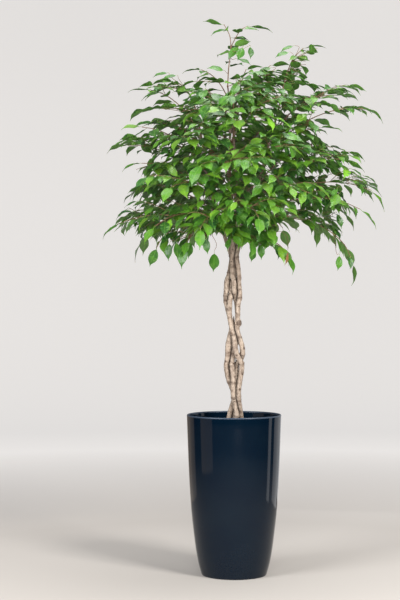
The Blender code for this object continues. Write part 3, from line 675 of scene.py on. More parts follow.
def in_outline(across: float, height: float) -> bool:
    """Tests whether a place lies inside the crown's outline and clear of its gaps.

    Args:
        across: its place across, as the camera sees it at the depth of the trunk.
        height: its height there.

    Returns:
        Whether it does.
    """
    if any(((across - x) / wide) ** 2 + ((height - z) / high) ** 2 < 1.0 for x, z, wide, high in GAPS):
        return False
    inside = False
    for (x1, z1), (x2, z2) in zip(OUTLINE, OUTLINE[1:] + OUTLINE[:1]):
        if (z1 > height) != (z2 > height) and across < x1 + (x2 - x1) * (height - z1) / (z2 - z1):
            inside = not inside
    return inside


class Room:
    """The space that is already taken, kept in cells so that a test looks only nearby."""

    CELL = 0.10

    def __init__(self) -> None:
        """Starts with nothing taken."""
        self.taken: list[tuple] = []
        self.cells: dict[tuple, list[int]] = defaultdict(list)

    def reach(self, verts: Line) -> tuple[tuple, tuple, list[tuple]]:
        """Finds the box of some points and the cells that it meets.

        Args:
            verts: the points.

        Returns:
            The box's lowest and highest corners, and the cells.
        """
        low = tuple(min(v[k] for v in verts) for k in range(3))
        high = tuple(max(v[k] for v in verts) for k in range(3))
        spans = [range(int(low[k] // self.CELL), int(high[k] // self.CELL) + 1) for k in range(3)]
        return low, high, [(i, j, k) for i in spans[0] for j in spans[1] for k in spans[2]]

    def add(self, owner: str, verts: Line, faces: list[tuple]) -> None:
        """Takes the space of a shape.

        Args:
            owner: whose it is.
            verts: its points.
            faces: its faces.
        """
        low, high, cells = self.reach(verts)
        self.taken.append((owner, low, high, BVHTree.FromPolygons(verts, faces)))
        for cell in cells:
            self.cells[cell].append(len(self.taken) - 1)

    def is_clear(self, verts: Line, faces: list[tuple], skip: str = "") -> bool:
        """Tests whether a shape is clear of all that is taken.

        Args:
            verts: its points.
            faces: its faces.
            skip: an owner whose space doesn't count.

        Returns:
            Whether it is clear.
        """
        low, high, cells = self.reach(verts)
        near = {index for cell in cells for index in self.cells.get(cell, ())}
        tree = BVHTree.FromPolygons(verts, faces)
        for index in near:
            owner, other_low, other_high, other = self.taken[index]
            apart = any(low[k] > other_high[k] or high[k] < other_low[k] for k in range(3))
            if owner != skip and not apart and tree.overlap(other):
                return False
        return True


@dataclass
class Eye:
    """Where the picture is taken from."""

    place: Vector = field(default_factory=lambda: Vector((-0.115, -5.0, 0.926)))
    lens: float = 88.8
    sensor: float = 36.0

    def seen(self, point: Vector) -> tuple[float, float]:
        """Moves a point along its sight line to the depth of the trunk.

        Args:
            point: the point.

        Returns:
            Its place across and its height there.
        """
        grow = -self.place.y / (point.y - self.place.y)
        across = self.place.x + (point.x - self.place.x) * grow
        return across, self.place.z + (point.z - self.place.z) * grow

    def placed(self, across: float, height: float, depth: float) -> Vector:
        """Finds the point at a depth that shows at a place at the depth of the trunk."""
        sight = Vector((across, 0.0, height)) - self.place
        return self.place + sight * (depth - self.place.y) / sight.y

    def build(self) -> None:
        """Makes the camera, level and towards +Y, and looks through it."""
        data = bpy.data.cameras.new("camera")
        data.sensor_width = self.sensor
        data.lens = self.lens
        camera = new_object("camera", data)
        camera.location = self.place
        camera.rotation_euler = (radians(90.0), 0.0, 0.0)
        bpy.context.scene.camera = camera


@dataclass
class ShootPlan:
    """All that grows on one shoot: its solid lines, its smooth lines and its leaves."""

    shoot: Shoot
    twigs: list[Twig]
    smooth: list[Twig]
    leaves: list[Leaf] = field(default_factory=list)
    side_count: int = 0

    def counts(self) -> list[int]:
        """Tells how many leaves the solids have on the main twig and on each fork."""
        return [self.shoot.leaves] + [FORK_LEAVES] * (len(self.twigs) - 1)


@dataclass
class Growth:
    """The whole plant's lines and leaves, grown in the order that its solids grew."""

    eye: Eye
    side_length: tuple = (0.110, 0.185)
    side_angle: tuple = (30.0, 62.0)
    side_rise: tuple = (2.0, 26.0)
    side_lift: float = 0.12
    side_droop: tuple = (0.10, 0.34)
    side_fall: tuple = (0.5, 0.9)
    side_handles: tuple = (0.35, 0.3)
    side_parts: int = 6
    side_first: float = 0.04
    side_last: float = 0.76
    side_shrink: float = 0.38
    side_radius: tuple = (0.0012, 0.0007)
    side_tries: int = 6
    rounds: int = 6
    round_twigs: int = 4
    outline_points: tuple = (2, 4, 6)
    crowd_points: tuple = (3, 6)
    crowd_reach: float = 0.030
    twig_crowd: int = 18
    leaf_crowd: int = 22
    leaf_start: tuple = (0.018, 0.030)
    leaf_step: tuple = (0.0135, 0.0185)
    leaf_end: float = 0.008
    leaf_shrink: tuple = (0.66, 1.00)
    leaf_narrow: tuple = (0.82, 1.04)
    leaf_tries: int = 6
    leaf_spare: float = 0.0002
    young_share: float = 0.010
    young_reach: float = 0.035
    young_weights: tuple = (12.0, 0.2)
    strand_radius: tuple = (0.0009, 0.0006)
    strand_step: float = 0.014
    strand_tries: tuple = (0, 1, -1, 2, -2, 3, -3, 4, -4)
    strand_parts: int = 5
    strand_seat: int = 3
    strand_petiole: float = 0.008
    strand_bend: float = 0.25
    strand_wave: float = 1.0
    stem_sides: int = 8
    steps: int = 6
    room: Room = field(default_factory=Room)
    axes: dict[str, Line] = field(default_factory=dict)
    boughs: dict[str, list[list]] = field(default_factory=lambda: defaultdict(list))
    plans: list[ShootPlan] = field(default_factory=list)
    middles: dict[tuple, list] = field(default_factory=lambda: defaultdict(list))

    def grow(self) -> None:
        """Grows the wood, then the leaves of the solids, then all that is added."""
        self.axes = {stem: self.stem_axis(stem) for stem in STEMS}
        for stem, axis in self.axes.items():
            radii = [blend(STEM_RADII, point.z) + WOOD_CLEARANCE for point in axis]
            self.room.add(f"trunk {stem}", *tube(axis, radii, self.stem_sides))
        self.plans = [self.shoot_plan(shoot) for shoot in SHOOTS]
        for plan in self.plans:
            self.main_leaves(plan)
        for strand in STRANDS:
            self.hang(strand)
        for plan in self.plans:
            self.more_leaves(plan)
        for turn in range(self.rounds):
            for plan in self.plans:
                self.side_twigs(plan, turn)
        for place in YOUNG_PLACES:
            self.turn_young(*place)

    def stem_axis(self, stem: str) -> Line:
        """Finds the middle line of a stem.

        Args:
            stem: its name.

        Returns:
            Its points from the foot in the soil to the top end.
        """
        column = BRAID_COLUMN[stem]
        across, depth = BRAID_MM[0][1 + column]
        points = [Vector((across / 1000, depth / 1000, STEM_FOOT))]
        braid = [(height, *places[column]) for height, *places in BRAID_MM]
        for height, across, depth in (*braid, *CROWN_MM[stem]):
            points.append(Vector((across, depth, height)) / 1000)
        return points

    def shoot_line(self, shoot: Shoot, rng: Random, nudge: float) -> Line:
        """Draws a shoot's line from its stem to its last leaf.

        Args:
            shoot: the shoot.
            rng: the shoot's own random draw.
            nudge: how far the line's middle may be moved.

        Returns:
            The line's points.
        """
        axis = self.axes[shoot.stem]
        start = axis[-1]
        for low, high in zip(axis, axis[1:]):
            if not shoot.at_end and high.z >= shoot.height:
                start = low.lerp(high, (shoot.height - low.z) / (high.z - low.z))
                break
        tip = Vector(shoot.tip)
        out_way = turned(tip - start, -shoot.rise).normalized()
        end = tip - out_way * TIP_REACH
        chord = end - start
        first_way = (axis[-1] - axis[-2] if shoot.at_end else turned(chord, shoot.rise)).normalized()
        shift = [drift(rng, 1.0) * nudge for _ in range(2)]
        ends = (
            start,
            start + first_way * chord.length * START_HANDLE + shift[0],
            end - out_way * chord.length * END_HANDLE + shift[1],
            end,
        )
        points = [bezier(ends, t) for t in (END_PATH_SHARES if shoot.at_end else PATH_SHARES)]
        if shoot.at_end:
            points[:1] = [start + first_way * END_GAP, start + first_way * END_STRAIGHT]
        return points

    def shoot_plan(self, shoot: Shoot) -> ShootPlan:
        """Bends a shoot's wood until it is clear, and smooths it.

        Args:
            shoot: the shoot.

        Returns:
            Its plan, with wood and no leaves yet.
        """
        rng = Random("bend " + shoot.name)
        axis = self.axes[shoot.stem]
        for attempt in range(BEND_TRIES):
            points = self.shoot_line(shoot, rng, BEND_STEP * attempt)
            line = points if shoot.at_end else points[1:]
            skin = [BOUGH_RADIUS + WOOD_CLEARANCE] * len(line)
            if self.room.is_clear(*tube(line, skin), skip=f"trunk {shoot.stem}"):
                break
        if shoot.at_end:
            thick, twig_points = blend(STEM_RADII, axis[-1].z), points
            fine = smooth_line(points, self.steps, before=axis[-2])
        else:
            before, after = points[SEAT_SEGMENT], points[SEAT_SEGMENT + 1]
            way = (after - before).normalized()
            seat = before.lerp(after, 0.5)
            bough = [*points[: SEAT_SEGMENT + 1], seat - way * SEAT_GAP / 2]
            thick, twig_points = SEAT_RADIUS, [seat + way * SEAT_GAP / 2, *points[SEAT_SEGMENT + 1 :]]
            whole = smooth_line(points, self.steps)
            cut = SEAT_SEGMENT * self.steps + self.steps // 2
            fine = whole[cut:]
            self.boughs[shoot.stem].append(whole[: cut + 1])
            self.room.add(f"bough {shoot.stem}", *tube(bough, tapered(bough, BOUGH_RADIUS, SEAT_RADIUS)))
        main = Twig(twig_points, tapered(twig_points, thick, TWIG_TIP_RADIUS))
        plan = ShootPlan(shoot, [main], [Twig(fine, tapered(fine, thick, self.side_radius[0]))])
        for share, tip in shoot.forks:
            fork = self.fork_twig(main, share, Vector(tip))
            plan.twigs.append(fork)
            fine = smooth_line(fork.points, self.steps)
            fine[0] = nearest_on_line(plan.smooth[0].points, fine[0])
            plan.smooth.append(Twig(fine, tapered(fine, FORK_RADIUS, self.side_radius[1])))
        for twig in plan.twigs:
            self.room.add(f"twig {shoot.name}", *tube(twig.points, twig.radii))
        return plan

    def fork_twig(self, main: Twig, share: float, tip: Vector) -> Twig:
        """Grows a fork that the solids have too.

        Args:
            main: the twig that it leaves.
            share: the share of that twig's length.
            tip: the tip of the fork's last leaf.

        Returns:
            The fork.
        """
        start, ahead = line_point(main.points, share)
        out_way = turned(tip - start, -RISE_DEG).normalized()
        end = tip - out_way * TIP_REACH
        reach = (end - start).length
        first_way = ahead + (tip - start).normalized()
        first, last = FORK_HANDLES
        ends = (start, start + first_way * reach * first, end - out_way * reach * last, end)
        points = [bezier(ends, t) for t in FORK_SHARES]
        return Twig(points, tapered(points, FORK_RADIUS, TWIG_TIP_RADIUS))

    def leaf_on_twig(
        self, rng: Random, point: Vector, ahead: Vector, sign: int, spread: float
    ) -> Leaf:
        """Draws a leaf on a twig.

        Args:
            rng: the random draw.
            point: where it grows from.
            ahead: the way the twig runs there.
            sign: the side it grows to, or zero for straight on.
            spread: how widely its turn may vary.

        Returns:
            The leaf.
        """
        side = ahead.cross(UP)
        side = side.normalized() if side.length > LEAST_SIDE else Vector((1.0, 0.0, 0.0))
        outward = point - CROWN_AXIS
        outward.z = 0.0
        outward.normalize()
        low = (CROWN_TOP - point.z) / (CROWN_TOP - CROWN_FOOT)
        droop = DROOP_TOP + DROOP_MORE * low * low + rng.uniform(*DROOP_SPREAD) * spread
        angle = radians(rng.uniform(*LEAF_ANGLE_DEG)) * abs(sign)
        along = ahead * cos(angle) + side * sin(angle) * sign
        along += outward * LEAN_OUT - UP * droop
        along += drift(rng, WAY_SPREAD) * spread
        along.z = min(along.z, along.z * LEVEL)
        along.normalize()
        face = UP + outward * FACE_OUT
        face += drift(rng, FACE_SPREAD) * spread
        face -= along * face.dot(along)
        length = rng.uniform(*LEAF_LENGTH)
        return Leaf(
            root=point,
            along=along,
            face=face.normalized(),
            length=length,
            width=length * rng.uniform(*LEAF_SLENDERNESS),
            petiole=rng.uniform(*PETIOLE_LENGTH),
            bend=radians(rng.uniform(*LEAF_BEND_DEG)),
            wave=rng.uniform(0.0, 2.0 * pi),
        )

    def take(self, plan: ShootPlan, leaf: Leaf, twig: Twig, rng: Random) -> None:
        """Keeps a leaf, with its colour, and takes its space.

        Args:
            plan: the shoot that it grows on.
            leaf: the leaf.
            twig: the smooth twig that its petiole starts from.
            rng: the random draw for its colour.
        """
        self.room.add(f"leaf {plan.shoot.name}", *leaf_solid(leaf))
        age = LeafAge.YOUNG if rng.random() < self.young_share else LeafAge.GROWN
        foot = nearest_on_line(twig.points, leaf.root)
        seen = self.eye.seen(leaf.middle())
        self.middles[self.crowd_cell(*seen)].append(seen)
        plan.leaves.append(replace(leaf, foot=foot, age=age, tone=rng.random()))

    def main_leaves(self, plan: ShootPlan) -> None:
        """Grows the leaves that the solids have too.

        Args:
            plan: the shoot's plan.
        """
        rng = Random("leaves " + plan.shoot.name)
        tint = Random("tint " + plan.shoot.name)
        for twig, smooth, count in zip(plan.twigs, plan.smooth, plan.counts()):
            for k in range(count):
                share = FIRST_LEAF + (1.0 - FIRST_LEAF) * k / (count - 1)
                point, ahead = line_point(twig.points, share)
                sign = 1 if k % 2 else -1
                if k == count - 1:
                    point, sign = point - ahead * TIP_SUNK, 0
                for attempt in range(LEAF_TRIES):
                    leaf = self.leaf_on_twig(rng, point, ahead, sign, 1.0 + TURN_MORE * attempt)
                    if sign == 0 and plan.shoot.tip_face:
                        leaf = leaf.faced(Vector(plan.shoot.tip_face))
                    if self.room.is_clear(*leaf_solid(leaf, LEAF_CLEARANCE, first=1)):
                        self.take(plan, leaf, smooth, tint)
                        break

    def hang(self, strand: Strand) -> None:
        """Hangs a listed strand, moved in depth until it is clear.

        Args:
            strand: the strand.
        """
        plan = next(plan for plan in self.plans if plan.shoot.name == strand.shoot)
        start, _ = line_point(plan.smooth[0].points, strand.share)
        way, face = Vector(strand.way).normalized(), Vector(strand.face)
        form = (self.strand_petiole, self.strand_bend, self.strand_wave)
        for step in self.strand_tries:
            depth = strand.depth + step * self.strand_step
            places = [start, *(self.eye.placed(*place, depth) for place in strand.line)]
            points = smooth_line(places, self.strand_parts)
            twig = Twig(points, tapered(points, *self.strand_radius))
            leaf = Leaf(points[-1], way, face, *strand.size, *form).faced(face)
            free = points[self.strand_seat :]
            skin = [self.strand_radius[0] + self.leaf_spare] * len(free)
            shapes = (leaf_solid(leaf, self.leaf_spare), tube(free, skin))
            if all(self.room.is_clear(*shape) for shape in shapes):
                self.take(plan, leaf, twig, Random(0))
                plan.leaves[-1] = replace(plan.leaves[-1], age=strand.age, tone=strand.tone)
                plan.smooth.append(twig)
                self.room.add(f"twig {strand.shoot}", *tube(points, twig.radii))
                return
        log.info("no room for the strand on %s", strand.shoot)

    def crowd_cell(self, across: float, height: float) -> tuple[int, int]:
        """Finds the cell of the picture that holds a place."""
        return floor(across / self.crowd_reach), floor(height / self.crowd_reach)

    def crowd(self, point: Vector) -> int:
        """Counts the leaves that show near a point.

        Args:
            point: the point.

        Returns:
            How many leaves have their middles within reach, as the camera sees them.
        """
        across, height = self.eye.seen(point)
        column, row = self.crowd_cell(across, height)
        count = 0
        for i in (column - 1, column, column + 1):
            for j in (row - 1, row, row + 1):
                for x, z in self.middles.get((i, j), ()):
                    count += hypot(x - across, z - height) < self.crowd_reach
        return count

    def try_leaf(self, plan: ShootPlan, twig: Twig, share: float, sign: int, rng: Random) -> None:
        """Grows an added leaf if there is room for it.

        Args:
            plan: the shoot's plan, which gets it.
            twig: the smooth twig that it grows on.
            share: the share of the twig's length.
            sign: the side it grows to, or zero for straight on.
            rng: the random draw.
        """
        point, ahead = line_point(twig.points, share)
        for attempt in range(self.leaf_tries):
            leaf = self.leaf_on_twig(rng, point, ahead, sign, 1.0 + TURN_MORE * attempt)
            scale = rng.uniform(*self.leaf_shrink)
            narrow = scale * rng.uniform(*self.leaf_narrow)
            leaf = replace(leaf, length=leaf.length * scale, width=leaf.width * narrow)
            verts, faces = leaf_solid(leaf, self.leaf_spare, first=1)
            inside = all(in_outline(*self.eye.seen(point)) for point in (verts[-1], leaf.middle()))
            if not inside or self.crowd(leaf.middle()) > self.leaf_crowd:
                continue
            if self.room.is_clear(verts, faces):
                self.take(plan, leaf, twig, rng)
                return

    def more_leaves(self, plan: ShootPlan) -> None:
        """Fills in leaves between the main ones.

        Args:
            plan: the shoot's plan.
        """
        rng = Random("more " + plan.shoot.name)
        for smooth, count in zip(plan.smooth, plan.counts()):
            for k in range(count - 1):
                share = FIRST_LEAF + (1.0 - FIRST_LEAF) * (k + 0.5) / (count - 1)
                self.try_leaf(plan, smooth, share, -1 if k % 2 else 1, rng)

    def side_twig(self, start: Vector, ahead: Vector, share: float, rng: Random) -> Twig:
        """Draws a side twig that arches out and hangs at its end.

        Args:
            start: where it leaves its twig.
            ahead: the way that twig runs there.
            share: the share of that twig's length.
            rng: the random draw.

        Returns:
            The side twig.
        """
        length = rng.uniform(*self.side_length) * (1.0 - self.side_shrink * share)
        turn = radians(rng.choice((-1, 1)) * rng.uniform(*self.side_angle))
        across = ahead.x * cos(turn) - ahead.y * sin(turn)
        depth = ahead.x * sin(turn) + ahead.y * cos(turn)
        way = Vector((across, depth, 0.0)).normalized() + UP * self.side_lift
        way = turned(way, rng.uniform(*self.side_rise)).normalized()
        low = (CROWN_TOP - start.z) / (CROWN_TOP - CROWN_FOOT)
        fall = rng.uniform(*self.side_droop) * (self.side_fall[0] + self.side_fall[1] * low)
        end = start + way * length - UP * fall * length
        out_way = (way - UP * fall * 2.0).normalized()
        first, last = self.side_handles
        ends = (start, start + way * length * first, end - out_way * length * last, end)
        points = [bezier(ends, t / self.side_parts) for t in range(self.side_parts + 1)]
        return Twig(points, tapered(points, *self.side_radius))

    def side_twigs(self, plan: ShootPlan, turn: int) -> None:
        """Grows one round of side twigs along a shoot's main twig, where few leaves show yet.

        Args:
            plan: the shoot's plan.
            turn: the round's number.
        """
        rng = Random(f"side {turn} {plan.shoot.name}")
        count = self.round_twigs
        for k in range(count):
            if plan.side_count >= FEW_TWIGS.get(plan.shoot.name, self.rounds * count):
                return
            share = self.side_first + (self.side_last - self.side_first) * (k + rng.random()) / count
            start, ahead = line_point(plan.smooth[0].points, share)
            for _ in range(self.side_tries):
                twig = self.side_twig(start, ahead, share, rng)
                points = twig.points
                skin = [self.side_radius[0] + self.leaf_spare] * (len(points) - 1)
                if not all(in_outline(*self.eye.seen(points[i])) for i in self.outline_points):
                    continue
                if max(self.crowd(points[i]) for i in self.crowd_points) > self.twig_crowd:
                    continue
                if self.room.is_clear(*tube(points[1:], skin)):
                    self.leafy_side(plan, twig, rng)
                    plan.side_count += 1
                    break

    def leafy_side(self, plan: ShootPlan, twig: Twig, rng: Random) -> None:
        """Puts leaves along a side twig.

        Args:
            plan: the shoot's plan.
            twig: the side twig.
            rng: the random draw.
        """
        plan.smooth.append(twig)
        length = sum((b - a).length for a, b in zip(twig.points, twig.points[1:]))
        place, sign = rng.uniform(*self.leaf_start), rng.choice((-1, 1))
        self.try_leaf(plan, twig, 1.0, 0, rng)
        while place < length - self.leaf_end:
            self.try_leaf(plan, twig, place / length, sign, rng)
            place += rng.uniform(*self.leaf_step)
            sign = -sign
        self.room.add(f"twig {plan.shoot.name}", *tube(twig.points, twig.radii))

    def turn_young(self, across: float, height: float) -> None:
        """Makes the leaf that shows at a place a young, bright one.

        Args:
            across: the place across, as the camera sees it.
            height: its height there.
        """
        best, found = inf, None
        apart_weight, face_weight = self.young_weights
        for plan in self.plans:
            for i, leaf in enumerate(plan.leaves):
                middle = leaf.middle()
                x, z = self.eye.seen(middle)
                apart = hypot(x - across, z - height)
                score = middle.y + apart_weight * apart - face_weight * abs(leaf.face.y)
                if apart < self.young_reach and score < best:
                    best, found = score, (plan, i)
        if found:
            plan, i = found
            plan.leaves[i] = replace(plan.leaves[i], age=LeafAge.YOUNG)


# The edges of the patches' mask, then the grain's streaks and marks: stretch, detail and edges
PATCH_EDGE = (0.3, 0.7)
STREAK_GRAIN = ((260.0, 260.0, 26.0), 4.0, (0.34, 0.66))
MARK_GRAIN = ((95.0, 95.0, 420.0), 2.0, (0.60, 0.70))
GRAIN_HEIGHTS = (0.6, 0.5)


class Graph:
    """Adds and joins the nodes of one shader tree."""

    def __init__(self, tree: NodeTree) -> None:
        """Starts on a tree."""
        self.tree = tree

    def feed(self, node: Node, inputs: dict) -> None:
        """Feeds a node's sockets.

        Args:
            node: the node.
            inputs: a plain value, or a socket to link, by each socket's name or number.
        """
        for key, value in inputs.items():
            if isinstance(value, NodeSocket):
                self.tree.links.new(value, node.inputs[key])
            else:
                node.inputs[key].default_value = value

    def add(self, kind: str, inputs: dict | None = None, **values: object) -> Node:
        """Adds a node.

        Args:
            kind: the node's type.
            inputs: what its sockets get.
            **values: its properties.

        Returns:
            The node.
        """
        node = self.tree.nodes.new(kind)
        for key, value in values.items():
            setattr(node, key, value)
        self.feed(node, inputs or {})
        return node

    def math(self, operation: str, *values: object, clamp: bool = False) -> NodeSocket:
        """Works out a number from numbers or sockets."""
        inputs = dict(enumerate(values))
        return self.add("ShaderNodeMath", inputs, operation=operation, use_clamp=clamp).outputs[0]

    def times(self, value: object, other: object) -> NodeSocket:
        """Multiplies two numbers or sockets."""
        return self.math("MULTIPLY", value, other)

    def sum(self, *parts: tuple) -> NodeSocket:
        """Adds up two sockets, each times its weight."""
        return self.math("ADD", *(self.times(socket, weight) for socket, weight in parts))

    def mix(self, share: object, first: object, second: object) -> NodeSocket:
        """Mixes a share of the second colour into the first."""
        return self.add("ShaderNodeMix", {0: share, 6: first, 7: second}, data_type="RGBA").outputs[2]

    def range(self, value: object, low: float, high: float, *ends: float) -> NodeSocket:
        """Maps the span from low to high to one from 0 to 1, or to the ends given, and stops there."""
        inputs = dict(enumerate((value, low, high, *(ends or (0.0, 1.0)))))
        return self.add("ShaderNodeMapRange", inputs, clamp=True).outputs[0]


def open_group(name: str, inputs: dict, outputs: tuple) -> tuple[Graph, dict, Node]:
    """Starts a shader group.

    Args:
        name: its name.
        inputs: the first value of each number that it takes, or None for a vector.
        outputs: the names of the numbers that it gives.

    Returns:
        Its graph, the sockets of its input node by name, and its output node.
    """
    tree = bpy.data.node_groups.new(name, "ShaderNodeTree")
    for key, value in inputs.items():
        kind = "NodeSocketVector" if value is None else "NodeSocketFloat"
        socket = tree.interface.new_socket(key, in_out="INPUT", socket_type=kind)
        if value is not None:
            socket.default_value = value
    for key in outputs:
        tree.interface.new_socket(key, in_out="OUTPUT", socket_type="NodeSocketFloat")
    graph = Graph(tree)
    start = graph.add("NodeGroupInput")
    return graph, {key: start.outputs[key] for key in inputs}, graph.add("NodeGroupOutput")


@cache
def mottle() -> NodeTree:
    """Soft patches at one scale.

    Returns:
        The group: Vector, Scale and Detail in, Mask out.
    """
    graph, start, end = open_group("mottle", {"Vector": None, "Scale": 40.0, "Detail": 3.0}, ("Mask",))
    patches = graph.add("ShaderNodeTexNoise", {**start, "Roughness": 0.6})
    graph.feed(end, {"Mask": graph.range(patches.outputs["Fac"], *PATCH_EDGE)})
    return graph.tree


@cache
def grain() -> NodeTree:
    """Long streaks up the wood with short marks across it.

    Returns:
        The group: Vector and Scale in, Streak, Mark and Height out.
    """
    graph, start, end = open_group("grain", {"Vector": None, "Scale": 1.0}, ("Streak", "Mark", "Height"))
    masks = []
    for stretch, detail, edge in (STREAK_GRAIN, MARK_GRAIN):
        mapped = graph.add("ShaderNodeMapping", {"Vector": start["Vector"], "Scale": stretch})
        inputs = {"Vector": mapped.outputs[0], "Scale": start["Scale"], "Detail": detail}
        masks.append(graph.range(graph.add("ShaderNodeTexNoise", inputs).outputs["Fac"], *edge))
    height = graph.sum(*zip(masks, GRAIN_HEIGHTS))
    graph.feed(end, {"Streak": masks[0], "Mark": masks[1], "Height": height})
    return graph.tree


class Surface(Graph):
    """The graph of a new material, with its surface node and the place on the piece."""

    def __init__(self, name: str) -> None:
        """Starts a material.

        Args:
            name: its name.
        """
        self.material = bpy.data.materials.new(name)
        self.material.use_nodes = True
        super().__init__(self.material.node_tree)
        self.shader = self.tree.nodes["Principled BSDF"]
        self.place = self.add("ShaderNodeTexCoord").outputs["Object"]

    def patches(self, scale: float, detail: float) -> NodeSocket:
        """Lays soft patches and gives their mask."""
        inputs = {"Vector": self.place, "Scale": scale, "Detail": detail}
        return self.add("ShaderNodeGroup", inputs, node_tree=mottle()).outputs["Mask"]

    def wood(self, scale: float) -> bpy.types.bpy_prop_collection:
        """Lays wood grain and gives its sockets."""
        inputs = {"Vector": self.place, "Scale": scale}
        return self.add("ShaderNodeGroup", inputs, node_tree=grain()).outputs

    def mark(self, name: str) -> bpy.types.bpy_prop_collection:
        """Reads one of the piece's own marks."""
        return self.add("ShaderNodeAttribute", attribute_name=name).outputs

    def height(self) -> NodeSocket:
        """Reads the height above the floor."""
        return self.add("ShaderNodeSeparateXYZ", {0: self.place}).outputs[2]

    def finish(self, base: object, roughness: object, height: object, relief: tuple) -> Material:
        """Feeds the surface node.

        Args:
            base: its colour.
            roughness: its roughness.
            height: the height of its fine relief.
            relief: the relief's strength and distance.

        Returns:
            The material.
        """
        inputs = {"Strength": relief[0], "Distance": relief[1], "Height": height}
        bump = self.add("ShaderNodeBump", inputs).outputs[0]
        self.feed(self.shader, {"Base Color": base, "Roughness": roughness, "Normal": bump})
        return self.material


def colour(red: float, green: float, blue: float) -> tuple[float, float, float, float]:
    """Makes a full colour of three shares."""
    return (red, green, blue, 1.0)


@dataclass(frozen=True)
class LeafFinish:
    """Glossy fig leaf: deep to fresh green, pale ribs, a paler and duller underside."""

    deep: tuple = colour(0.006, 0.048, 0.014)
    grown: tuple = colour(0.062, 0.195, 0.015)
    fresh: tuple = colour(0.150, 0.285, 0.022)
    young: tuple = colour(0.170, 0.400, 0.024)
    under: tuple = colour(0.085, 0.190, 0.040)
    dry: tuple = colour(0.210, 0.098, 0.042)
    rib: tuple = colour(0.220, 0.400, 0.070)
    stalk: tuple = colour(0.190, 0.300, 0.060)
    roughness: tuple = (0.27, 0.44)
    patch_noise: tuple = (55.0, 3.0)
    speck_noise: tuple = (420.0, 2.0)
    tone_weights: tuple = (0.72, 0.28)
    grown_span: tuple = (0.05, 0.55)
    fresh_span: tuple = (0.50, 1.10)
    rib_edge: tuple = (0.012, 0.045)
    rib_share: float = 0.8
    vein_slant: float = 0.55
    vein_turn: float = 88.0
    vein_edge: tuple = (0.70, 1.0)
    vein_share: float = 0.45
    line_share: float = 0.45
    stalk_end: float = 0.02
    gloss_weights: tuple = (0.5, 1.2)
    relief: tuple = (0.35, 0.0006)
    glow: float = 0.05
    glow_radius: tuple = (0.4, 1.0, 0.15)
    glow_scale: float = 0.004

    def material(self) -> Material:
        """Builds the material.

        Returns:
            The material, which reads the leaves' own map and marks.
        """
        look = Surface("leaf")
        marks = look.mark("leaf_marks")
        tone, under, young = look.add("ShaderNodeSeparateColor", {0: marks["Color"]}).outputs
        leaf_map = look.add("ShaderNodeUVMap", uv_map="leaf_map").outputs[0]
        across, along, _ = look.add("ShaderNodeSeparateXYZ", {0: leaf_map}).outputs
        across = look.math("ABSOLUTE", look.math("SUBTRACT", across, 0.5))
        rib = look.times(look.range(across, *self.rib_edge, 1.0, 0.0), self.rib_share)
        slant = look.math("SUBTRACT", along, look.times(across, self.vein_slant))
        wave = look.math("SINE", look.times(slant, self.vein_turn))
        vein = look.range(wave, *self.vein_edge, 0.0, self.vein_share)
        lines = look.math("MAXIMUM", rib, vein, clamp=True)
        patches, specks = look.patches(*self.patch_noise), look.patches(*self.speck_noise)
        share = look.sum(*zip((tone, patches), self.tone_weights))
        base = look.mix(look.range(share, *self.grown_span), self.deep, self.grown)
        base = look.mix(look.range(share, *self.fresh_span), base, self.fresh)
        base = look.mix(young, base, self.young)
        base = look.mix(under, base, self.under)
        base = look.mix(look.times(lines, self.line_share), base, self.rib)
        base = look.mix(marks["Alpha"], base, self.dry)
        base = look.mix(look.range(along, 0.0, self.stalk_end, 1.0, 0.0), base, self.stalk)
        gloss = look.sum(*zip((specks, under), self.gloss_weights))
        glow = {"Weight": self.glow, "Radius": self.glow_radius, "Scale": self.glow_scale}
        look.feed(look.shader, {f"Subsurface {key}": value for key, value in glow.items()})
        rough = look.range(gloss, 0.0, 1.0, *self.roughness)
        return look.finish(base, rough, look.math("SUBTRACT", specks, lines), self.relief)


@dataclass(frozen=True)
class TwigFinish:
    """Thin young wood: red brown, with paler tan stretches."""

    brown: tuple = colour(0.110, 0.050, 0.028)
    tan: tuple = colour(0.240, 0.150, 0.085)
    roughness: float = 0.62
    grain_scale: float = 1.6
    patch_noise: tuple = (16.0, 3.0)
    tan_weights: tuple = (0.4, 0.6)
    relief: tuple = (0.5, 0.0006)

    def material(self) -> Material:
        """Builds the material.

        Returns:
            The material.
        """
        look = Surface("twig")
        wood = look.wood(self.grain_scale)
        masks = (wood["Streak"], look.patches(*self.patch_noise))
        base = look.mix(look.sum(*zip(masks, self.tan_weights)), self.brown, self.tan)
        return look.finish(base, self.roughness, wood["Height"], self.relief)


